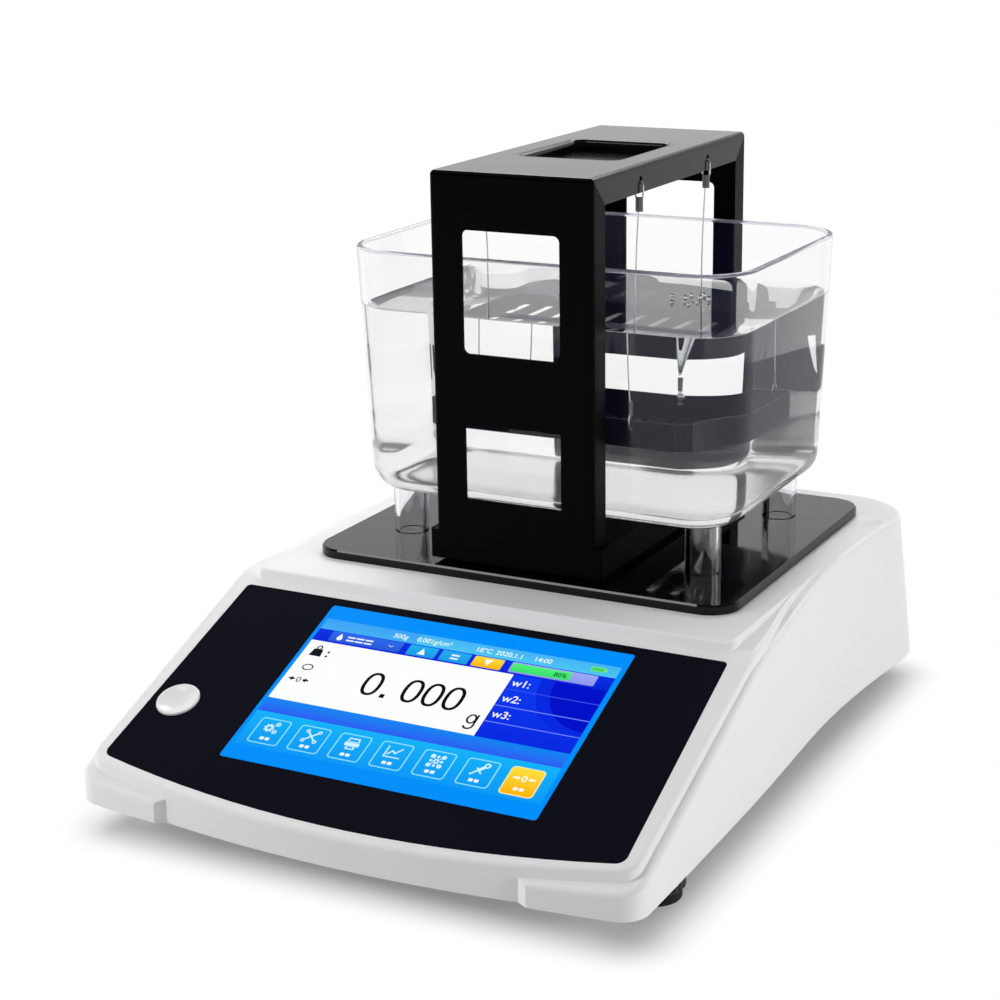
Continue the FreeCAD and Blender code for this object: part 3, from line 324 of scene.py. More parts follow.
# milled aluminium, with fine lines along the cut
milledAluminium = finish("milled_aluminium", "#C6C8CA", 0.35, metallic=1.0, grainMm=0.6, bump=0.01,
                         stretch=(1.0, 0.05, 1.0))
# tin-plated steel housings: grey with a soft shine
tinPlate = finish("tin_plated_steel", "#A7A9AA", 0.35, metallic=1.0, grainMm=2.0, bump=0.008)
# glass laminate under solder mask: deep green gloss
boardLaminate = finish("solder_mask_green", "#145A32", 0.35, ior=1.5, grainMm=0.7, bump=0.008, tone=0.12)
# black ABS, moulded: an even dark satin
mouldedBlack = finish("black_abs_moulded", "#161617", 0.5, ior=1.5, grainMm=0.6, bump=0.02, tone=0.1)
# cover glass over the lit panel: blue where the picture leaves it bare
screenGlass = finish("cover_glass_over_lit_panel", "#0090FF", 0.2, ior=1.3, grainMm=1.0, bump=0.001, tone=0.02)

dress(whiteAbs, "upper_cover", "bottom_cover")
dress(buttonAbs, "power_button")
dress(panelFilm, "overlay_panel")
dress(powderCoat, "frame_front", "frame_rear", "frame_base_bar")
# the frame's top and the pan wear the lit copy of the coat, painted lighter as painted sheen
dress(litTopCoat, "frame_top", "sample_pan")
dress(blackAcrylic, "tank_plate")
dress(trayPlastic, "immersed_tray")
dress(screenGlass, "touch_screen")
dress(zincSteel, "cover_screws", "bar_screws", "carrier_screws", "cell_screws")
dress(turnedSteel, "load_posts")
dress(bentSteel, "display_bracket", "load_carrier")
dress(turnedBrass, "foot_inserts", "board_standoffs")
dress(milledAluminium, "load_cell", "load_cell_mount")
dress(tinPlate, "display_module", "data_port")
dress(boardLaminate, "main_board")
dress(mouldedBlack, "board_components", "battery_pack", "power_inlet", "switch_body", "switch_plunger")
for corner in ("front_left", "front_right", "rear_left", "rear_right"):
    dress(drawnWire, corner + "_wire")
    # the sleeves are painted darker than tin, a painted reflection of dim surroundings
    dress(darkenedSleeve, corner + "_sleeves")
    dress(softRubber, corner + "_foot_pad")
    dress(blackNylon, corner + "_foot_screw")


shadowTint = (0.95, 0.95, 0.96, 1)


# Clear plastic or water: it refracts for the eye, and lets light through for shadows. Its haze is a colour and the
# share of the light that it scatters.
def clearFinish(name, ior, tint, roughness, waveMm, wave, haze=None):
    material, tree = newMaterial(name)
    ripple = grain(tree, waveMm, detail=1.0)
    height = addNode(tree, "ShaderNodeBump", inputs={
        "Height": ripple.outputs["Fac"], "Strength": 1.0, "Distance": wave * mm})
    tone = addNode(tree, "ShaderNodeMix", {"data_type": "RGBA"}, {
        "Factor": ripple.outputs["Fac"], 6: linear(tint), 7: (1, 1, 1, 1)})
    clear = addNode(tree, "ShaderNodeBsdfPrincipled", inputs={
        "Base Color": tone.outputs[2], "Roughness": roughness, "IOR": ior, "Transmission Weight": 1.0,
        "Normal": height.outputs[0]})
    if haze:
        milk = addNode(tree, "ShaderNodeBsdfDiffuse", inputs={"Color": linear(haze[0])})
        clear = addNode(tree, "ShaderNodeMixShader", inputs={0: haze[1], 1: clear.outputs[0], 2: milk.outputs[0]})
    through = addNode(tree, "ShaderNodeBsdfTransparent", inputs={"Color": shadowTint})
    path = addNode(tree, "ShaderNodeLightPath")
    mixed = addNode(tree, "ShaderNodeMixShader", inputs={
        0: path.outputs["Is Shadow Ray"], 1: clear.outputs[0], 2: through.outputs[0]})
    addNode(tree, "ShaderNodeOutputMaterial", inputs={"Surface": mixed.outputs[0]})
    return material


# injection-moulded polycarbonate: clear, with the faint violet cast of its edge and slow waves from the mould
clearPolycarbonate = clearFinish("clear_polycarbonate_moulded", 1.15, "#FBFCFA", 0.0, 60.0, 0.01,
                                 ("#5961CB", 0.008))
# the cut and flame-polished lip scatters light along its edge
polishedLip = clearFinish("clear_polycarbonate_lip", 1.3, "#E4E2F0", 0.25, 20.0, 0.01, ("#C9C6DC", 0.25))
# the underside and its bend are faintly frosted by the mould
frostedBottom = clearFinish("clear_polycarbonate_frosted", 1.15, "#FBFCFA", 0.1, 30.0, 0.02,
                            ("#F4F5F4", 0.05))
# the legs are hollow posts of the same plastic
clearPost = clearFinish("clear_polycarbonate_post", 1.49, "#F6F6FA", 0.0, 40.0, 0.02)
# still water, clear but for slow waves
stillWater = clearFinish("still_water", 1.333, "#FEFFFF", 0.0, 40.0, 0.02)
# air bubbles: a thin film of water that bends light at its rim
clearFilm = clearFinish("water_film", 1.4, "#FFFFFF", 0.0, 40.0, 0.0)
dress(clearPost, "tank_legs")
dress(clearPolycarbonate, "tank")

# the tank in mm: half sides and corner radii of its rim and its foot, its heights, wall and lip, and how finely each
# stretch of its profile is cut
tankShape = {"middleY": 71.3483, "rimHalf": (102.0, 74.0), "footHalf": (97.5, 69.5), "rimZ": 235.8, "footZ": 115.0,
             "wall": 3.0, "rimCorner": 27.2, "footCorner": 25.4, "leastCorner": 0.8, "bottomRound": 12.0,
             "lip": 1.45, "lipGap": 0.05, "flatLead": 3, "middle": 66.0,
             "cornerSteps": 26, "flatSteps": 8, "bendSteps": 15, "wallSteps": 16, "lipSteps": 19}
# the water in mm: its level, how far it bites into the wall, and how high and how far out it creeps up the wall
water = {"level": 206.0, "bite": 0.3, "rise": 1.0, "reach": 2.7, "wallSteps": 14,
         "underEdge": (1.2, 0.5, 0.15, 0.04),
         "fromEdge": (0.0, 0.04, 0.15, 0.5, 1.0, 1.6, 2.4, 3.4, 5.0, 7.0, 10.0, 14.0, 20.0, 30.0, 45.0, 63.0)}


# outline of a rounded rectangle as an array: each quarter arc's points, counter-clockwise
def roundedOutline(halfX, halfY, radius, count=5):
    angle = (np.arange(4)[:, None] * 90 + np.linspace(0, 90, count)[None]) * math.pi / 180
    middleX = np.array([1, -1, -1, 1])[:, None] * (halfX - radius)
    middleY = np.array([1, 1, -1, -1])[:, None] * (halfY - radius)
    return np.stack([(middleX + radius * np.cos(angle)).ravel(), (middleY + radius * np.sin(angle)).ravel()], 1)


# Rings of the tank's shape. Each is a rounded rectangle whose half sides and corner radius grow evenly from the
# foot to the rim, less an inset that is the same all round.
def tankRings(profile):
    shape = tankShape
    height, inset = np.array(profile, float).T
    share = (height - shape["footZ"]) / (shape["rimZ"] - shape["footZ"])
    foot, rim = np.array(shape["footHalf"]), np.array(shape["rimHalf"])
    half = foot + share[:, None] * (rim - foot) - inset[:, None]
    corner = shape["footCorner"] + share * (shape["rimCorner"] - shape["footCorner"]) - inset
    corner = np.maximum(corner, shape["leastCorner"])
    angle = (np.arange(4)[:, None] * 90 + np.linspace(0, 90, shape["cornerSteps"])[None]).ravel() * math.pi / 180
    side = np.repeat(np.array([(1, 1), (-1, 1), (-1, -1), (1, -1)]), shape["cornerSteps"], axis=0)
    arcs = corner[:, None, None] * np.c_[np.cos(angle), np.sin(angle)]
    flat = side * (half - corner[:, None])[:, None] + arcs
    points = np.concatenate([flat, np.broadcast_to(height[:, None, None], flat.shape[:2] + (1,))], -1)
    return points + np.array([0.0, shape["middleY"], 0.0])


# A closed surface through the rings of several stretches, with its first and last ring filled in. Each stretch has
# its rings and the number of its finish.
def addRings(name, stretches, finishes):
    points = tankRings([ring for rings, _ in stretches for ring in rings])
    kinds = np.concatenate([np.full(len(rings), kind) for rings, kind in stretches])
    rows, columns = points.shape[:2]
    caps = [list(range(columns - 1, -1, -1)), list(range((rows - 1) * columns, rows * columns))]
    faces = gridFaces(rows, columns).tolist() + caps
    piece = addPiece(name, points.reshape(-1, 3) * mm, faces, finishes[0], "base")
    for other in finishes[1:]:
        piece.data.materials.append(other)
    worn = np.concatenate([np.repeat(kinds[1:], columns), kinds[[0, -1]]]).astype(np.int32)
    piece.data.polygons.foreach_set("material_index", worn)
    return piece


# The tank's profile runs from the middle of its underside out, round the bottom corner, up the leaning wall, over
# a round lip and back down the inside, at the wall's thickness from the outside.
def addTank():
    shape = tankShape
    floorZ, rimZ, wall, lip, turn = (shape[key] for key in ("footZ", "rimZ", "wall", "lip", "bottomRound"))
    bendZ, lipZ, inner, half = floorZ + turn, rimZ - lip, turn - wall, wall / 2
    quarter = np.linspace(0, math.pi / 2, shape["bendSteps"])
    flatInsets = np.linspace(shape["middle"], turn + shape["flatLead"], shape["flatSteps"])
    wallHeights = np.linspace(bendZ, lipZ - shape["lipGap"], shape["wallSteps"])
    under = [(floorZ, inset) for inset in flatInsets]
    bend = [(floorZ + turn * (1 - math.cos(a)), turn * (1 - math.sin(a))) for a in quarter]
    outside = [(z, 0.0) for z in wallHeights[1:]]
    overLip = np.linspace(0, math.pi, shape["lipSteps"])
    over = [(lipZ + lip * math.sin(a), half - half * math.cos(a)) for a in overLip]
    inside = [(z, wall) for z in wallHeights[:0:-1]]
    innerBend = [(bendZ - inner * math.sin(a), turn - inner * math.cos(a)) for a in quarter]
    bottom = [(floorZ + wall, inset) for inset in flatInsets[::-1]]
    stretches = [(under, 2), (bend, 2), (outside, 0), (over, 1), (inside, 0), (innerBend, 2), (bottom, 2)]
    return addRings("clear_tank", stretches, (clearPolycarbonate, polishedLip, frostedBottom))


# The water fills the tank a little past its inner surface, so that no air shows between them. Its top rises to the
# wall by an exponential of the distance from it.
def addWater():
    shape, fill = tankShape, water
    turn, reach = shape["bottomRound"], shape["bottomRound"] - shape["wall"] + fill["bite"]
    bendZ, edge = shape["footZ"] + turn, shape["wall"] - fill["bite"]
    top, (first, *nearer) = fill["level"] + fill["rise"], fill["underEdge"]
    quarter = np.linspace(0, math.pi / 2, shape["bendSteps"])
    flatInsets = np.linspace(shape["middle"], turn + shape["flatLead"], shape["flatSteps"])
    under = [(bendZ - reach, inset) for inset in flatInsets]
    bend = [(bendZ - reach * math.cos(a), turn - reach * math.sin(a)) for a in quarter]
    outside = [(z, edge) for z in np.linspace(bendZ, top - first, fill["wallSteps"])[1:]]
    outside += [(top - below, edge) for below in nearer]
    away = np.array(fill["fromEdge"])
    level = fill["level"] + fill["rise"] * np.exp(-away / fill["reach"])
    surface = list(zip(level, edge + away))
    return addRings("tank_water", [(under + bend + outside + surface, 0)], (stillWater,))


bubbles = {"count": 12, "middle": (43.0, 84.0), "spread": (12.0, 13.0), "radius": (0.6, 1.1), "sizeStep": 0.618,
           "turn": 2.4, "seat": 1.05, "poleGap": 0.12, "rings": 9, "columns": 14}


# Air bubbles on the water: small spheres placed along a spiral of even turns, each from rings of points between
# its bottom and its top, with the radius times the sine and cosine of the tilt.
def addBubbles():
    number = np.arange(bubbles["count"])[:, None, None]
    rings, columns = bubbles["rings"], bubbles["columns"]
    tilt = np.linspace(bubbles["poleGap"], math.pi - bubbles["poleGap"], rings)[None, ::-1, None]
    about = np.linspace(0, 2 * math.pi, columns, endpoint=False)[None, None]
    low, high = bubbles["radius"]
    radius = low + (high - low) * (number * bubbles["sizeStep"] % 1.0)
    away = np.sqrt((number + 0.5) / bubbles["count"])
    turned = bubbles["turn"] * number
    middleX = bubbles["middle"][0] + bubbles["spread"][0] * away * np.cos(turned)
    middleY = bubbles["middle"][1] + bubbles["spread"][1] * away * np.sin(turned)
    points = np.stack(np.broadcast_arrays(
        middleX + radius * np.sin(tilt) * np.cos(about), middleY + radius * np.sin(tilt) * np.sin(about),
        water["level"] + radius * (bubbles["seat"] + np.cos(tilt))), -1)
    faces = []
    for first in range(0, bubbles["count"] * rings * columns, rings * columns):
        last = first + (rings - 1) * columns
        faces += gridFaces(rings, columns, start=first).tolist()
        faces += [list(range(first + columns - 1, first - 1, -1)), list(range(last, last + columns))]
    return addPiece("water_bubbles", points.reshape(-1, 3) * mm, faces, clearFilm, "base")


tankPiece = addTank()
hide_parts("tank")
waterPiece = addWater()
addBubbles()
print("finishes, tank and water set")


# picture on the display: flat shapes on the panel's plane, in mm from the mirror plane and down the slope

panelPlane = {"top": (0.0, -57.4517, 81.0), "slope": 21.5, "lift": 0.03, "layer": 0.012, "thick": 0.010}
slope = math.radians(panelPlane["slope"])
panelOrigin = np.array(panelPlane["top"])
panelDown = np.array([0.0, -math.cos(slope), -math.sin(slope)])
panelNormal = np.array([0.0, -math.sin(slope), math.cos(slope)])


# points of the picture in the frame: along x, down the slope, and lifted along the panel's normal
def placeOnPanel(flat, height):
    return (panelOrigin + flat[:, :1] * np.array([1.0, 0, 0]) + flat[:, 1:2] * panelDown
            + np.reshape(height, (-1, 1)) * panelNormal)


picture = {"points": [], "faces": [], "colours": [], "count": 0}
pen = {"overlap": 0.3, "arrowHalf": 0.62, "zeroSteps": 48, "zeroPower": 0.84, "zeroThin": 0.86, "cornerStep": 0.4}


# a flat shape of the picture: its outline is lifted by its layer and joined down to the layer under it, and its
# colour runs evenly from its upper edge to its lower one
def paint(outline, colour, layer, lowColour=None):
    outline = np.asarray(outline, float)
    turned = np.sum(outline[:, 0] * np.roll(outline[:, 1], -1) - outline[:, 1] * np.roll(outline[:, 0], -1))
    if turned > 0:
        outline = outline[::-1]
    n, start = len(outline), picture["count"]
    top = panelPlane["lift"] + layer * panelPlane["layer"]
    picture["points"] += [placeOnPanel(outline, top), placeOnPanel(outline, top - panelPlane["thick"])]
    ring = start + np.arange(n)
    after = np.roll(ring, -1)
    picture["faces"] += [ring.tolist(), (n + ring[::-1]).tolist()]
    picture["faces"] += np.stack([ring, n + ring, n + after, after], 1).tolist()
    down = outline[:, 1:2]
    share = (down - down.min()) / max(np.ptp(down), 1e-6)
    first, last = np.array(linear(colour)), np.array(linear(lowColour or colour))
    tones = first + share * (last - first)
    picture["colours"] += [tones, tones]
    picture["count"] += 2 * n


# a rectangle from its left and top to its right and bottom, with round corners where a radius is given
def box(left, top, right, bottom, corner=0.0):
    if not corner:
        return np.array([(left, top), (right, top), (right, bottom), (left, bottom)])
    outline = roundedOutline((right - left) / 2, (bottom - top) / 2, corner)
    return outline + np.array([(left + right) / 2, (top + bottom) / 2])


# an ellipse or a part of one, by the cosine and sine of even angles
def disc(x, down, radiusX, radiusY=None, count=28, first=0.0, last=360.0):
    angle = np.radians(np.linspace(first, last, count, endpoint=last - first < 360))
    return np.c_[x + radiusX * np.cos(angle), down + (radiusY or radiusX) * np.sin(angle)]


# a closed band between an outline and the same outline drawn in by its width, cut in two halves
def band(outer, inner, colour, layer):
    half = len(outer) // 2
    for part in (np.arange(0, half + 1), np.arange(half, len(outer) + 1) % len(outer)):
        paint(np.concatenate([outer[part], inner[part][::-1]]), colour, layer)


# a frame of even width, whose inner corners are a little sharper than its outer ones
def frameBand(left, top, right, bottom, corner, width, colour, layer):
    inner = box(left + width, top + width, right - width, bottom - width, corner - pen["cornerStep"])
    band(box(left, top, right, bottom, corner), inner, colour, layer)


# straight lines from point to point: each is a rectangle that reaches a little past its ends
def stroke(points, width, colour, layer):
    points = np.asarray(points, float)
    for a, b in zip(points[:-1], points[1:]):
        along = (b - a) / np.linalg.norm(b - a)
        side = np.array([-along[1], along[0]]) * width / 2
        ends = along * width * pen["overlap"]
        paint([a - ends + side, b + ends + side, b + ends - side, a - ends - side], colour, layer)


# an arrow's head: a triangle that points right or left
def arrow(x, down, size, direction, colour, layer):
    half = size * pen["arrowHalf"]
    paint([(x + direction * size, down), (x, down - half), (x, down + half)], colour, layer)


# the figure 0 of the read-out: a band between two upright superellipses
def zero(x, middle, halfWide, halfHigh, thick, colour, layer):
    angle = np.linspace(0, 2 * math.pi, pen["zeroSteps"], endpoint=False)
    c, s = (np.sign(part) * np.abs(part) ** pen["zeroPower"] for part in (np.cos(angle), np.sin(angle)))
    inWide, inHigh = halfWide - thick, halfHigh - thick * pen["zeroThin"]
    outer = np.c_[x + halfWide * c, middle + halfHigh * s]
    band(outer, np.c_[x + inWide * c, middle + inHigh * s], colour, layer)


# the sign for zeroing: a small 0 between two arrows that point at it
def zeroSign(sign, colour, layer):
    x, down = sign["middle"]
    tail, neck = sign["shaft"]
    for way in (1, -1):
        stroke([(x - tail * way, down), (x - neck * way, down)], sign["width"], colour, layer)
        arrow(x - sign["head"] * way, down, sign["headSize"], way, colour, layer)
    zero(x, down, *sign["figure"], colour, layer)


# outline of a gear: the radius steps between root and tip for each tooth
def gear(x, down, root, tip, teeth):
    step = np.arange(teeth * 4)
    angle = 2 * math.pi * step / (teeth * 4)
    radius = np.where(step % 4 < 2, tip, root)
    return np.c_[x + radius * np.cos(angle), down + radius * np.sin(angle)]


inks = {
    "figure": "#0A0A0C", "weight": "#16171A", "ring": "#1A1C20", "zeroing": "#101114", "chevron": "#DCE8FF",
    "method": "#F2F6FF", "limit": "#F6FCFF", "limitOn": "#FFFDF0", "valueMid": "#0628E0", "valueDeep": "#0010C8",
    "line": "#6E86FF", "faintLine": "#3A50E8", "iconFrame": "#8FE8FF", "icon": "#CFF5FF", "iconBack": "#10A8F7",
    "amberFrame": "#FFF3B0", "label": "#F4FCFF", "zeroIcon": "#FFFFFF",
}
# fields of the display: left, top, right, bottom, corner radius, layer, and the colour of the upper and lower edge
fields = {
    "border": (-72.25, 5.05, 81.65, 108.85, 1.4, 0, "#008FFB"),
    "statusRow": (-70.4, 14.2, 79.2, 21.3, 0, 1, "#45B4F5", "#4CC6F2"),
    "statusLeft": (-70.4, 14.2, -20.0, 21.3, 0, 2, "#3AA4F5", "#44AEF2"),
    "limitRow": (-70.4, 21.2, 79.2, 29.6, 0, 1, "#0A30E6", "#0522D6"),
    "method": (-62.6, 21.7, -25.2, 28.4, 0.8, 2, "#2C6AE8", "#2457D8"),
    "overTab": (-21.7, 21.8, -7.1, 28.5, 0.7, 2, "#22AEEE", "#1B98E6"),
    "withinTab": (-5.1, 21.8, 9.5, 28.5, 0.7, 2, "#22AEEE", "#1B98E6"),
    "underTab": (11.5, 21.8, 26.1, 28.5, 0.7, 2, "#FFDF3C", "#FFB400"),
    "battery": (66.0, 16.2, 73.0, 19.2, 0.7, 2, "#7BE58F", "#6BE07C"),
    "charge": (66.7, 16.8, 72.2, 18.6, 0.3, 3, "#3FD65A"),
    "batteryTip": (73.0, 17.0, 73.8, 18.4, 0, 2, "#7BE58F"),
    "progress": (30.0, 21.7, 71.5, 28.4, 0.7, 2, "#9FA8F4", "#8E98EE"),
    "progressDone": (30.7, 22.4, 59.4, 27.5, 0, 3, "#52F07C", "#34E066"),
    "readOut": (-70.2, 29.5, 34.1, 69.6, 0, 2, "#FDFEFE"),
    "point": (-19.75, 55.45, -17.35, 57.85, 0, 3, "#0A0A0C"),
    "values": (34.1, 29.6, 79.3, 69.7, 0, 2, "#0A3CF2", "#0628E0"),
    "divider": (33.9, 29.5, 34.3, 69.7, 0, 5, "#0A1CC0"),
    "message": (-70.4, 69.7, 79.4, 78.5, 0, 1, "#0E86F2", "#2C5CF2"),
    "iconRow": (-70.4, 78.5, 79.4, 100.3, 0, 1, "#12B2F8", "#0A98F6"),
    "amberIcon": (59.1, 82.2, 74.3, 98.0, 1.8, 2, "#FFDF3C", "#FFB400"),
}
# signs of the display: places and sizes, across and down the slope
signs = {
    "chevron": [(-31.8, 24.7), (-30.7, 25.7), (-29.6, 24.7)], "chevronWidth": 0.35,
    "drop": (-57.6, 25.8, 1.45), "dropTip": [(-57.6, 22.5), (-56.3, 25.2), (-58.9, 25.2)],
    "bars": {"left": (-53.6, -48.9, -44.2), "long": 3.6, "down": (24.2, 26.3), "width": 0.9},
    "over": [(-14.4, 23.1), (-12.4, 27.2), (-16.4, 27.2)],
    "within": {"left": 0.5, "right": 3.9, "down": (24.1, 26.2), "width": 0.9},
    "under": [(18.8, 27.2), (16.8, 23.1), (20.8, 23.1)],
    "digits": {"x": (-26.5, -6.15, 4.2, 14.55), "shape": (50.45, 4.55, 7.45, 1.75)},
    "weight": [(-65.6, 34.9), (-61.0, 34.9), (-60.2, 39.6), (-66.4, 39.6)],
    "weightEye": {"middle": (-63.3, 33.9), "outer": 1.5, "inner": 0.8},
    "colon": {"x": -57.6, "down": (35.9, 38.7), "radius": 0.65},
    "stable": {"middle": (-62.3, 47.3), "outer": (2.85, 2.1), "inner": (2.2, 1.5)},
    "zeroing": {"middle": (-62.3, 55.8), "shaft": (4.8, 3.6), "width": 1.0, "head": 3.9, "headSize": 2.2,
                "figure": (1.05, 1.7, 0.5)},
    "gram": {"middle": (28.2, 60.3), "outer": (2.45, 3.0), "inner": (1.5, 2.1), "stem": (2.35, -2.8, 3.9),
             "hook": (0.1, 3.7), "hookSize": (2.25, 2.3), "hookSteps": 12, "hookTurn": 150, "width": 0.95},
    "valueGlow": {"corner": (79.3, 29.6), "outer": (31.5, 31.5), "inner": (25.0, 27.0), "steps": 24},
    "valueLines": {"left": 34.1, "right": 79.3, "half": 0.25, "faint": 38.9, "clear": (49.5, 59.8)},
    "iconFrame": {"half": 7.75, "top": 82.0, "bottom": 97.8, "corner": 1.7, "width": 0.55},
    "amberFrame": {"edges": (58.8, 81.9, 74.6, 98.3), "corner": 1.9, "width": 0.5},
    "label": {"sides": (-1.35, 1.35), "half": 1.0, "top": 93.6, "bottom": 95.3, "corner": 0.3},
    "zeroIcon": {"middle": (66.8, 88.2), "shaft": (5.0, 3.2), "width": 0.8, "head": 3.4, "headSize": 1.6,
                 "figure": (1.15, 1.8, 0.6)},
}


# paints the named fields in the order given
def paintFields(*names):
    for name in names:
        left, top, right, bottom, corner, layer, *tones = fields[name]
        paint(box(left, top, right, bottom, corner), tones[0], layer, tones[-1])


# the row of limits: the chosen method, and over, within and under the limits
def drawLimits():
    method, bars, within = inks["method"], signs["bars"], signs["within"]
    stroke(signs["chevron"], signs["chevronWidth"], inks["chevron"], 3)
    paint(disc(*signs["drop"]), method, 3)
    paint(signs["dropTip"], method, 3)
    for x in bars["left"]:
        for down in bars["down"]:
            stroke([(x, down), (x + bars["long"], down)], bars["width"], method, 3)
    paintFields("overTab", "withinTab", "underTab")
    paint(signs["over"], inks["limit"], 3)
    for down in within["down"]:
        stroke([(within["left"], down), (within["right"], down)], within["width"], inks["limit"], 3)
    paint(signs["under"], inks["limitOn"], 3)


# the read-out: its figures, and beside them a scale weight, a colon, the stable ring, the zero sign and the unit
def drawReadOut():
    digits, eye, colon, stable = (signs[key] for key in ("digits", "weightEye", "colon", "stable"))
    for x in digits["x"]:
        zero(x, *digits["shape"], inks["figure"], 3)
    paintFields("point")
    paint(signs["weight"], inks["weight"], 3)
    band(disc(*eye["middle"], eye["outer"]), disc(*eye["middle"], eye["inner"]), inks["weight"], 3)
    for down in colon["down"]:
        paint(disc(colon["x"], down, colon["radius"]), inks["weight"], 3)
    band(disc(*stable["middle"], *stable["outer"]), disc(*stable["middle"], *stable["inner"]), inks["ring"], 3)
    zeroSign(signs["zeroing"], inks["zeroing"], 3)
    drawGram(signs["gram"], inks["figure"], 3)


# the unit g: a bowl, a straight stem and a hook
def drawGram(gram, colour, layer):
    x, down = gram["middle"]
    side, high, low = gram["stem"]
    band(disc(x, down, *gram["outer"]), disc(x, down, *gram["inner"]), colour, layer)
    stroke([(x + side, down + high), (x + side, down + low)], gram["width"], colour, layer + 1)
    hookX, hookDown = gram["hook"]
    hook = disc(x + hookX, down + hookDown, *gram["hookSize"], gram["hookSteps"], 0, gram["hookTurn"])
    stroke(hook, gram["width"], colour, layer + 1)


# the three values at the right: a glow in the upper corner, in two quarter ellipses, and lines between the rows
def drawValues():
    glow, lines = signs["valueGlow"], signs["valueLines"]
    for size, tone, layer in ((glow["outer"], "valueMid", 3), (glow["inner"], "valueDeep", 4)):
        arc = disc(*glow["corner"], *size, glow["steps"], 180, 90)
        paint(np.concatenate([arc, [glow["corner"]]]), inks[tone], layer)
    for down in (lines["faint"],) + lines["clear"]:
        tone = inks["faintLine" if down == lines["faint"] else "line"]
        paint(box(lines["left"], down - lines["half"], lines["right"], down + lines["half"]), tone, 5)


lattice = {"pitch": (2.6, 2.7), "big": 1.15, "small": 0.7, "line": 0.35, "hole": 0.55}


# nine dots, large and small by turns, each joined to the one in the middle
def latticeShapes():
    shapes = []
    for column in (-1, 0, 1):
        for row in (-1, 0, 1):
            place = (lattice["pitch"][0] * column, lattice["pitch"][1] * row)
            shapes.append(("dot", place, lattice["small" if (column + row) % 2 else "big"]))
            if column or row:
                shapes.append(("line", [(0.0, 0.0), place], lattice["line"]))
    return shapes + [("hole", (0.0, 0.0), lattice["hole"])]


# Drawings on the icons, each from its icon's middle. A gear has its root and tip radius and its teeth, a line its
# points and width, a dot its radius, a plate its corners, and a slab two corners and a corner radius. Holes, cuts
# and slots are the same shapes in the colour behind the icon.
gearSmall = (0.95, 1.4, 7)
icons = {
    "gears": [
        ("gear", (-1.4, -0.2), (1.9, 2.6, 8)), ("hole", (-1.4, -0.2), 0.95), ("gear", (1.9, -3.0), gearSmall),
        ("hole", (1.9, -3.0), 0.45), ("gear", (2.2, 1.7), gearSmall), ("hole", (2.2, 1.7), 0.45)],
    "tools": [
        ("line", [(-3.0, -2.9), (3.0, 2.9)], 0.8), ("dot", (-3.0, -2.9), 1.05), ("hole", (-3.0, -2.9), 0.45),
        ("dot", (3.0, 2.9), 1.05), ("hole", (3.0, 2.9), 0.45),
        ("line", [(3.0, -2.9), (-3.0, 2.9)], 0.8), ("dot", (3.0, -2.9), 1.05), ("hole", (3.0, -2.9), 0.45),
        ("dot", (-3.0, 2.9), 1.05), ("hole", (-3.0, 2.9), 0.45)],
    "printer": [
        ("plate", [(-2.6, -3.8), (2.6, -3.8), (3.1, -1.3), (-3.1, -1.3)], None),
        ("cut", [(-2.0, -3.1), (2.0, -3.1), (2.4, -1.7), (-2.4, -1.7)], None),
        ("slab", [(-3.6, -1.0), (3.6, 1.1)], 0.5), ("slab", [(-2.2, 1.4), (2.2, 3.2)], 0.4),
        ("slot", [(-1.4, 1.6), (1.4, 2.6)], 0)],
    "chart": [
        ("line", [(-3.6, -3.4), (-3.6, 2.8), (3.9, 2.8)], 0.6),
        ("line", [(-2.6, 1.2), (-0.6, -1.0), (0.8, 0.4), (3.4, -2.8)], 0.7)],
    "lattice": latticeShapes(),
    "pipette": [
        ("line", [(-3.4, 3.2), (-0.4, 0.2)], 0.8), ("line", [(-1.6, -0.8), (1.2, 2.0)], 0.7),
        ("line", [(-0.2, 0.0), (2.2, -2.6)], 1.7), ("dot", (2.4, -2.9), 1.5), ("hole", (2.3, -2.8), 0.7)],
}
# middle of each icon across the display, and of all of them down it
iconPlaces = {"gears": -57.5, "tools": -37.0, "printer": -16.5, "chart": 4.2, "lattice": 25.0, "pipette": 45.9}
iconDown = 88.0


# one drawing about its middle
def drawIcon(shapes, x, down):
    for kind, where, measure in shapes:
        at = np.array(where) + np.array([x, down])
        cut = kind in ("hole", "cut", "slot")
        colour, layer = (inks["iconBack"], 5) if cut else (inks["icon"], 4)
        if kind == "line":
            stroke(at, measure, colour, layer)
        elif kind == "gear":
            paint(gear(*at, *measure), colour, layer)
        elif kind in ("dot", "hole"):
            paint(disc(*at, measure), colour, layer)
        elif kind in ("slab", "slot"):
            paint(box(*at[0], *at[1], measure), colour, layer)
        else:
            paint(at, colour, layer)


# the row of icons: frames, drawings, and two small blocks under each in place of its words
def drawIconRow():
    edge, amber, label = signs["iconFrame"], signs["amberFrame"], signs["label"]
    for x in iconPlaces.values():
        frameBand(x - edge["half"], edge["top"], x + edge["half"], edge["bottom"], edge["corner"], edge["width"],
                  inks["iconFrame"], 3)
    paintFields("amberIcon")
    frameBand(*amber["edges"], amber["corner"], amber["width"], inks["amberFrame"], 3)
    for name, x in iconPlaces.items():
        drawIcon(icons[name], x, iconDown)
    for x in (*iconPlaces.values(), signs["zeroIcon"]["middle"][0]):
        for side in label["sides"]:
            paint(box(x + side - label["half"], label["top"], x + side + label["half"], label["bottom"],
                      label["corner"]), inks["label"], 4)
    zeroSign(signs["zeroIcon"], inks["zeroIcon"], 4)


# the whole picture, from its border to the row of icons
def drawScreen():
    paintFields("border", "statusRow", "statusLeft", "limitRow", "method")
    drawLimits()
    paintFields("battery", "charge", "batteryTip", "progress", "progressDone", "readOut")
    drawReadOut()
    paintFields("values")
    drawValues()
    paintFields("divider", "message", "iconRow")
    drawIconRow()


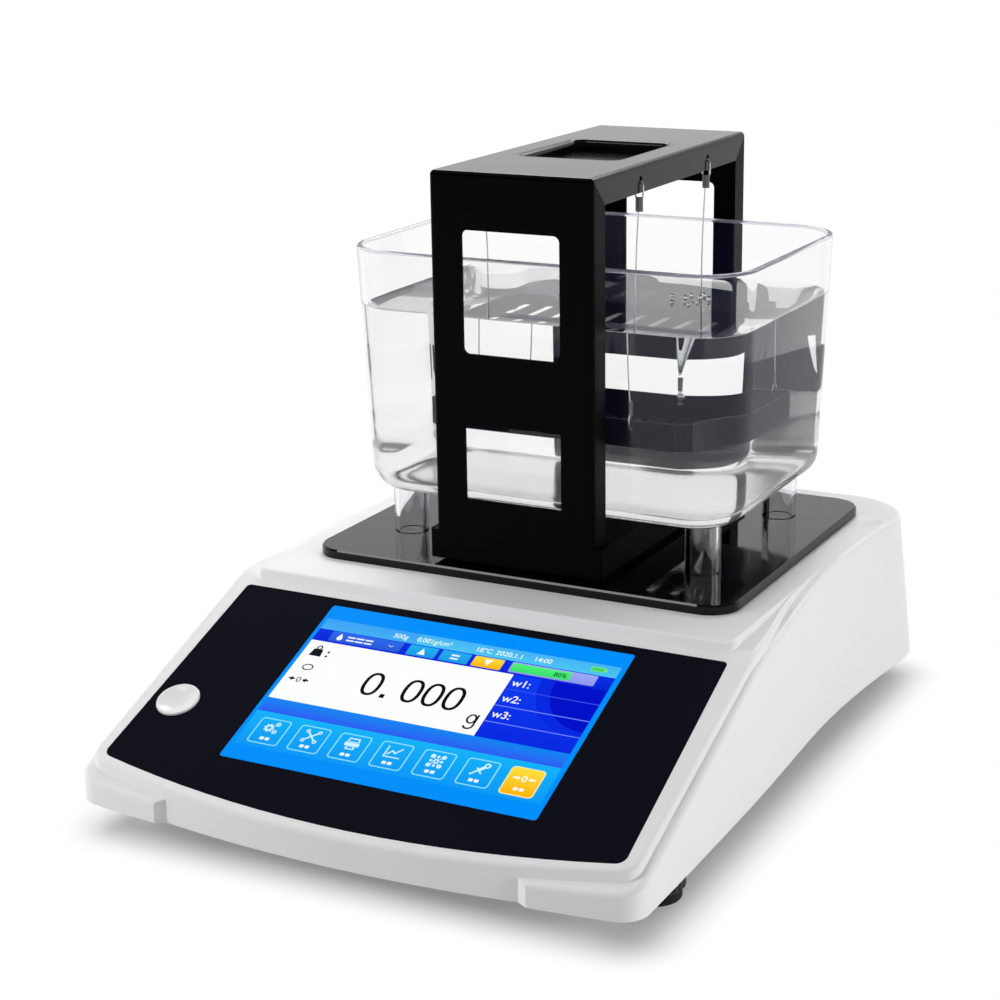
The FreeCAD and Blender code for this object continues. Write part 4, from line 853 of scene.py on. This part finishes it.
litCells = {"sizeMm": 0.5, "drift": 0.03}


# liquid-crystal display lit from behind: each cell glows, a little brighter or dimmer than the next
def litFinish():
    material, tree = newMaterial("lit_display_picture")
    tone = addNode(tree, "ShaderNodeAttribute", {"attribute_name": "tone"})
    cells = grain(tree, litCells["sizeMm"], detail=0.0)
    dimmed = addNode(tree, "ShaderNodeMapRange", inputs={
        "Value": cells.outputs["Fac"], "To Min": 1 - litCells["drift"], "To Max": 1 + litCells["drift"]})
    shaded = addNode(tree, "ShaderNodeVectorMath", {"operation": "SCALE"}, {
        0: tone.outputs["Color"], "Scale": dimmed.outputs[0]})
    lit = addNode(tree, "ShaderNodeBsdfPrincipled", inputs={
        "Base Color": (0.0, 0.0, 0.0, 1), "Roughness": 0.3, "IOR": 1.1, "Emission Color": shaded.outputs[0],
        "Emission Strength": 1.0})
    addNode(tree, "ShaderNodeOutputMaterial", inputs={"Surface": lit.outputs[0]})
    return material


drawScreen()
litPicture = litFinish()


# stores the colour of each point in the mesh, where the display's finish reads it
def setTones(mesh, tones):
    attribute = mesh.color_attributes.new("tone", "FLOAT_COLOR", "POINT")
    attribute.data.foreach_set("color", tones.astype(np.float32).ravel())


# the picture as one mesh, coloured point by point
def addPicture():
    points = np.concatenate(picture["points"]) * mm
    piece = addPiece("display_picture", points, picture["faces"], litPicture, "base", smooth=False)
    setTones(piece.data, np.concatenate(picture["colours"]))


# figures and units: text, left, distance down the slope, size and colour
words = [
    ("w1:", 35.6, 36.5, 6.2, "#F0F4FF"), ("w2:", 35.6, 46.7, 6.2, "#F0F4FF"), ("w3:", 35.6, 56.9, 6.2, "#F0F4FF"),
    ("80%", 51.4, 26.3, 3.7, "#064A30"), ("300g", -33.0, 19.2, 4.0, "#E4FAFF"),
    ("0.001g/cm\u00b3", -20.6, 19.2, 4.0, "#E4FAFF"), ("18\u00b0C", 9.4, 19.2, 4.0, "#E4FAFF"),
    ("2020.1.1", 19.6, 19.2, 4.0, "#E4FAFF"), ("14:00", 38.4, 19.2, 4.0, "#E4FAFF"),
]
lettering = {"extrude": 0.004, "bolder": 0.012, "lift": 0.115}


# the built-in typeface, drawn a little bolder, turned into flat meshes on the panel
def addWords():
    for n, (text, left, down, size, colour) in enumerate(words):
        curve = bpy.data.curves.new("word%d" % n, "FONT")
        curve.body = text
        curve.size = size
        curve.extrude = lettering["extrude"]
        curve.offset = lettering["bolder"] * size
        made = bpy.data.objects.new("word%d" % n, curve)
        bpy.context.scene.collection.objects.link(made)
        bpy.context.view_layer.update()
        mesh = bpy.data.meshes.new_from_object(made.evaluated_get(bpy.context.evaluated_depsgraph_get()))
        bpy.data.objects.remove(made)
        flat = np.empty(len(mesh.vertices) * 3)
        mesh.vertices.foreach_get("co", flat)
        flat = flat.reshape(-1, 3)
        on = np.c_[left + flat[:, 0], down - flat[:, 1]]
        mesh.vertices.foreach_set("co", (placeOnPanel(on, lettering["lift"] + flat[:, 2]) * mm).ravel())
        setTones(mesh, np.tile(linear(colour), (len(mesh.vertices), 1)))
        mesh.materials.clear()
        mesh.materials.append(litPicture)
        mesh.update()
        piece = bpy.data.objects.new("display_figures_%d" % n, mesh)
        bpy.context.scene.collection.objects.link(piece)
        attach(piece, "base")


addPicture()
addWords()
print("display drawn")
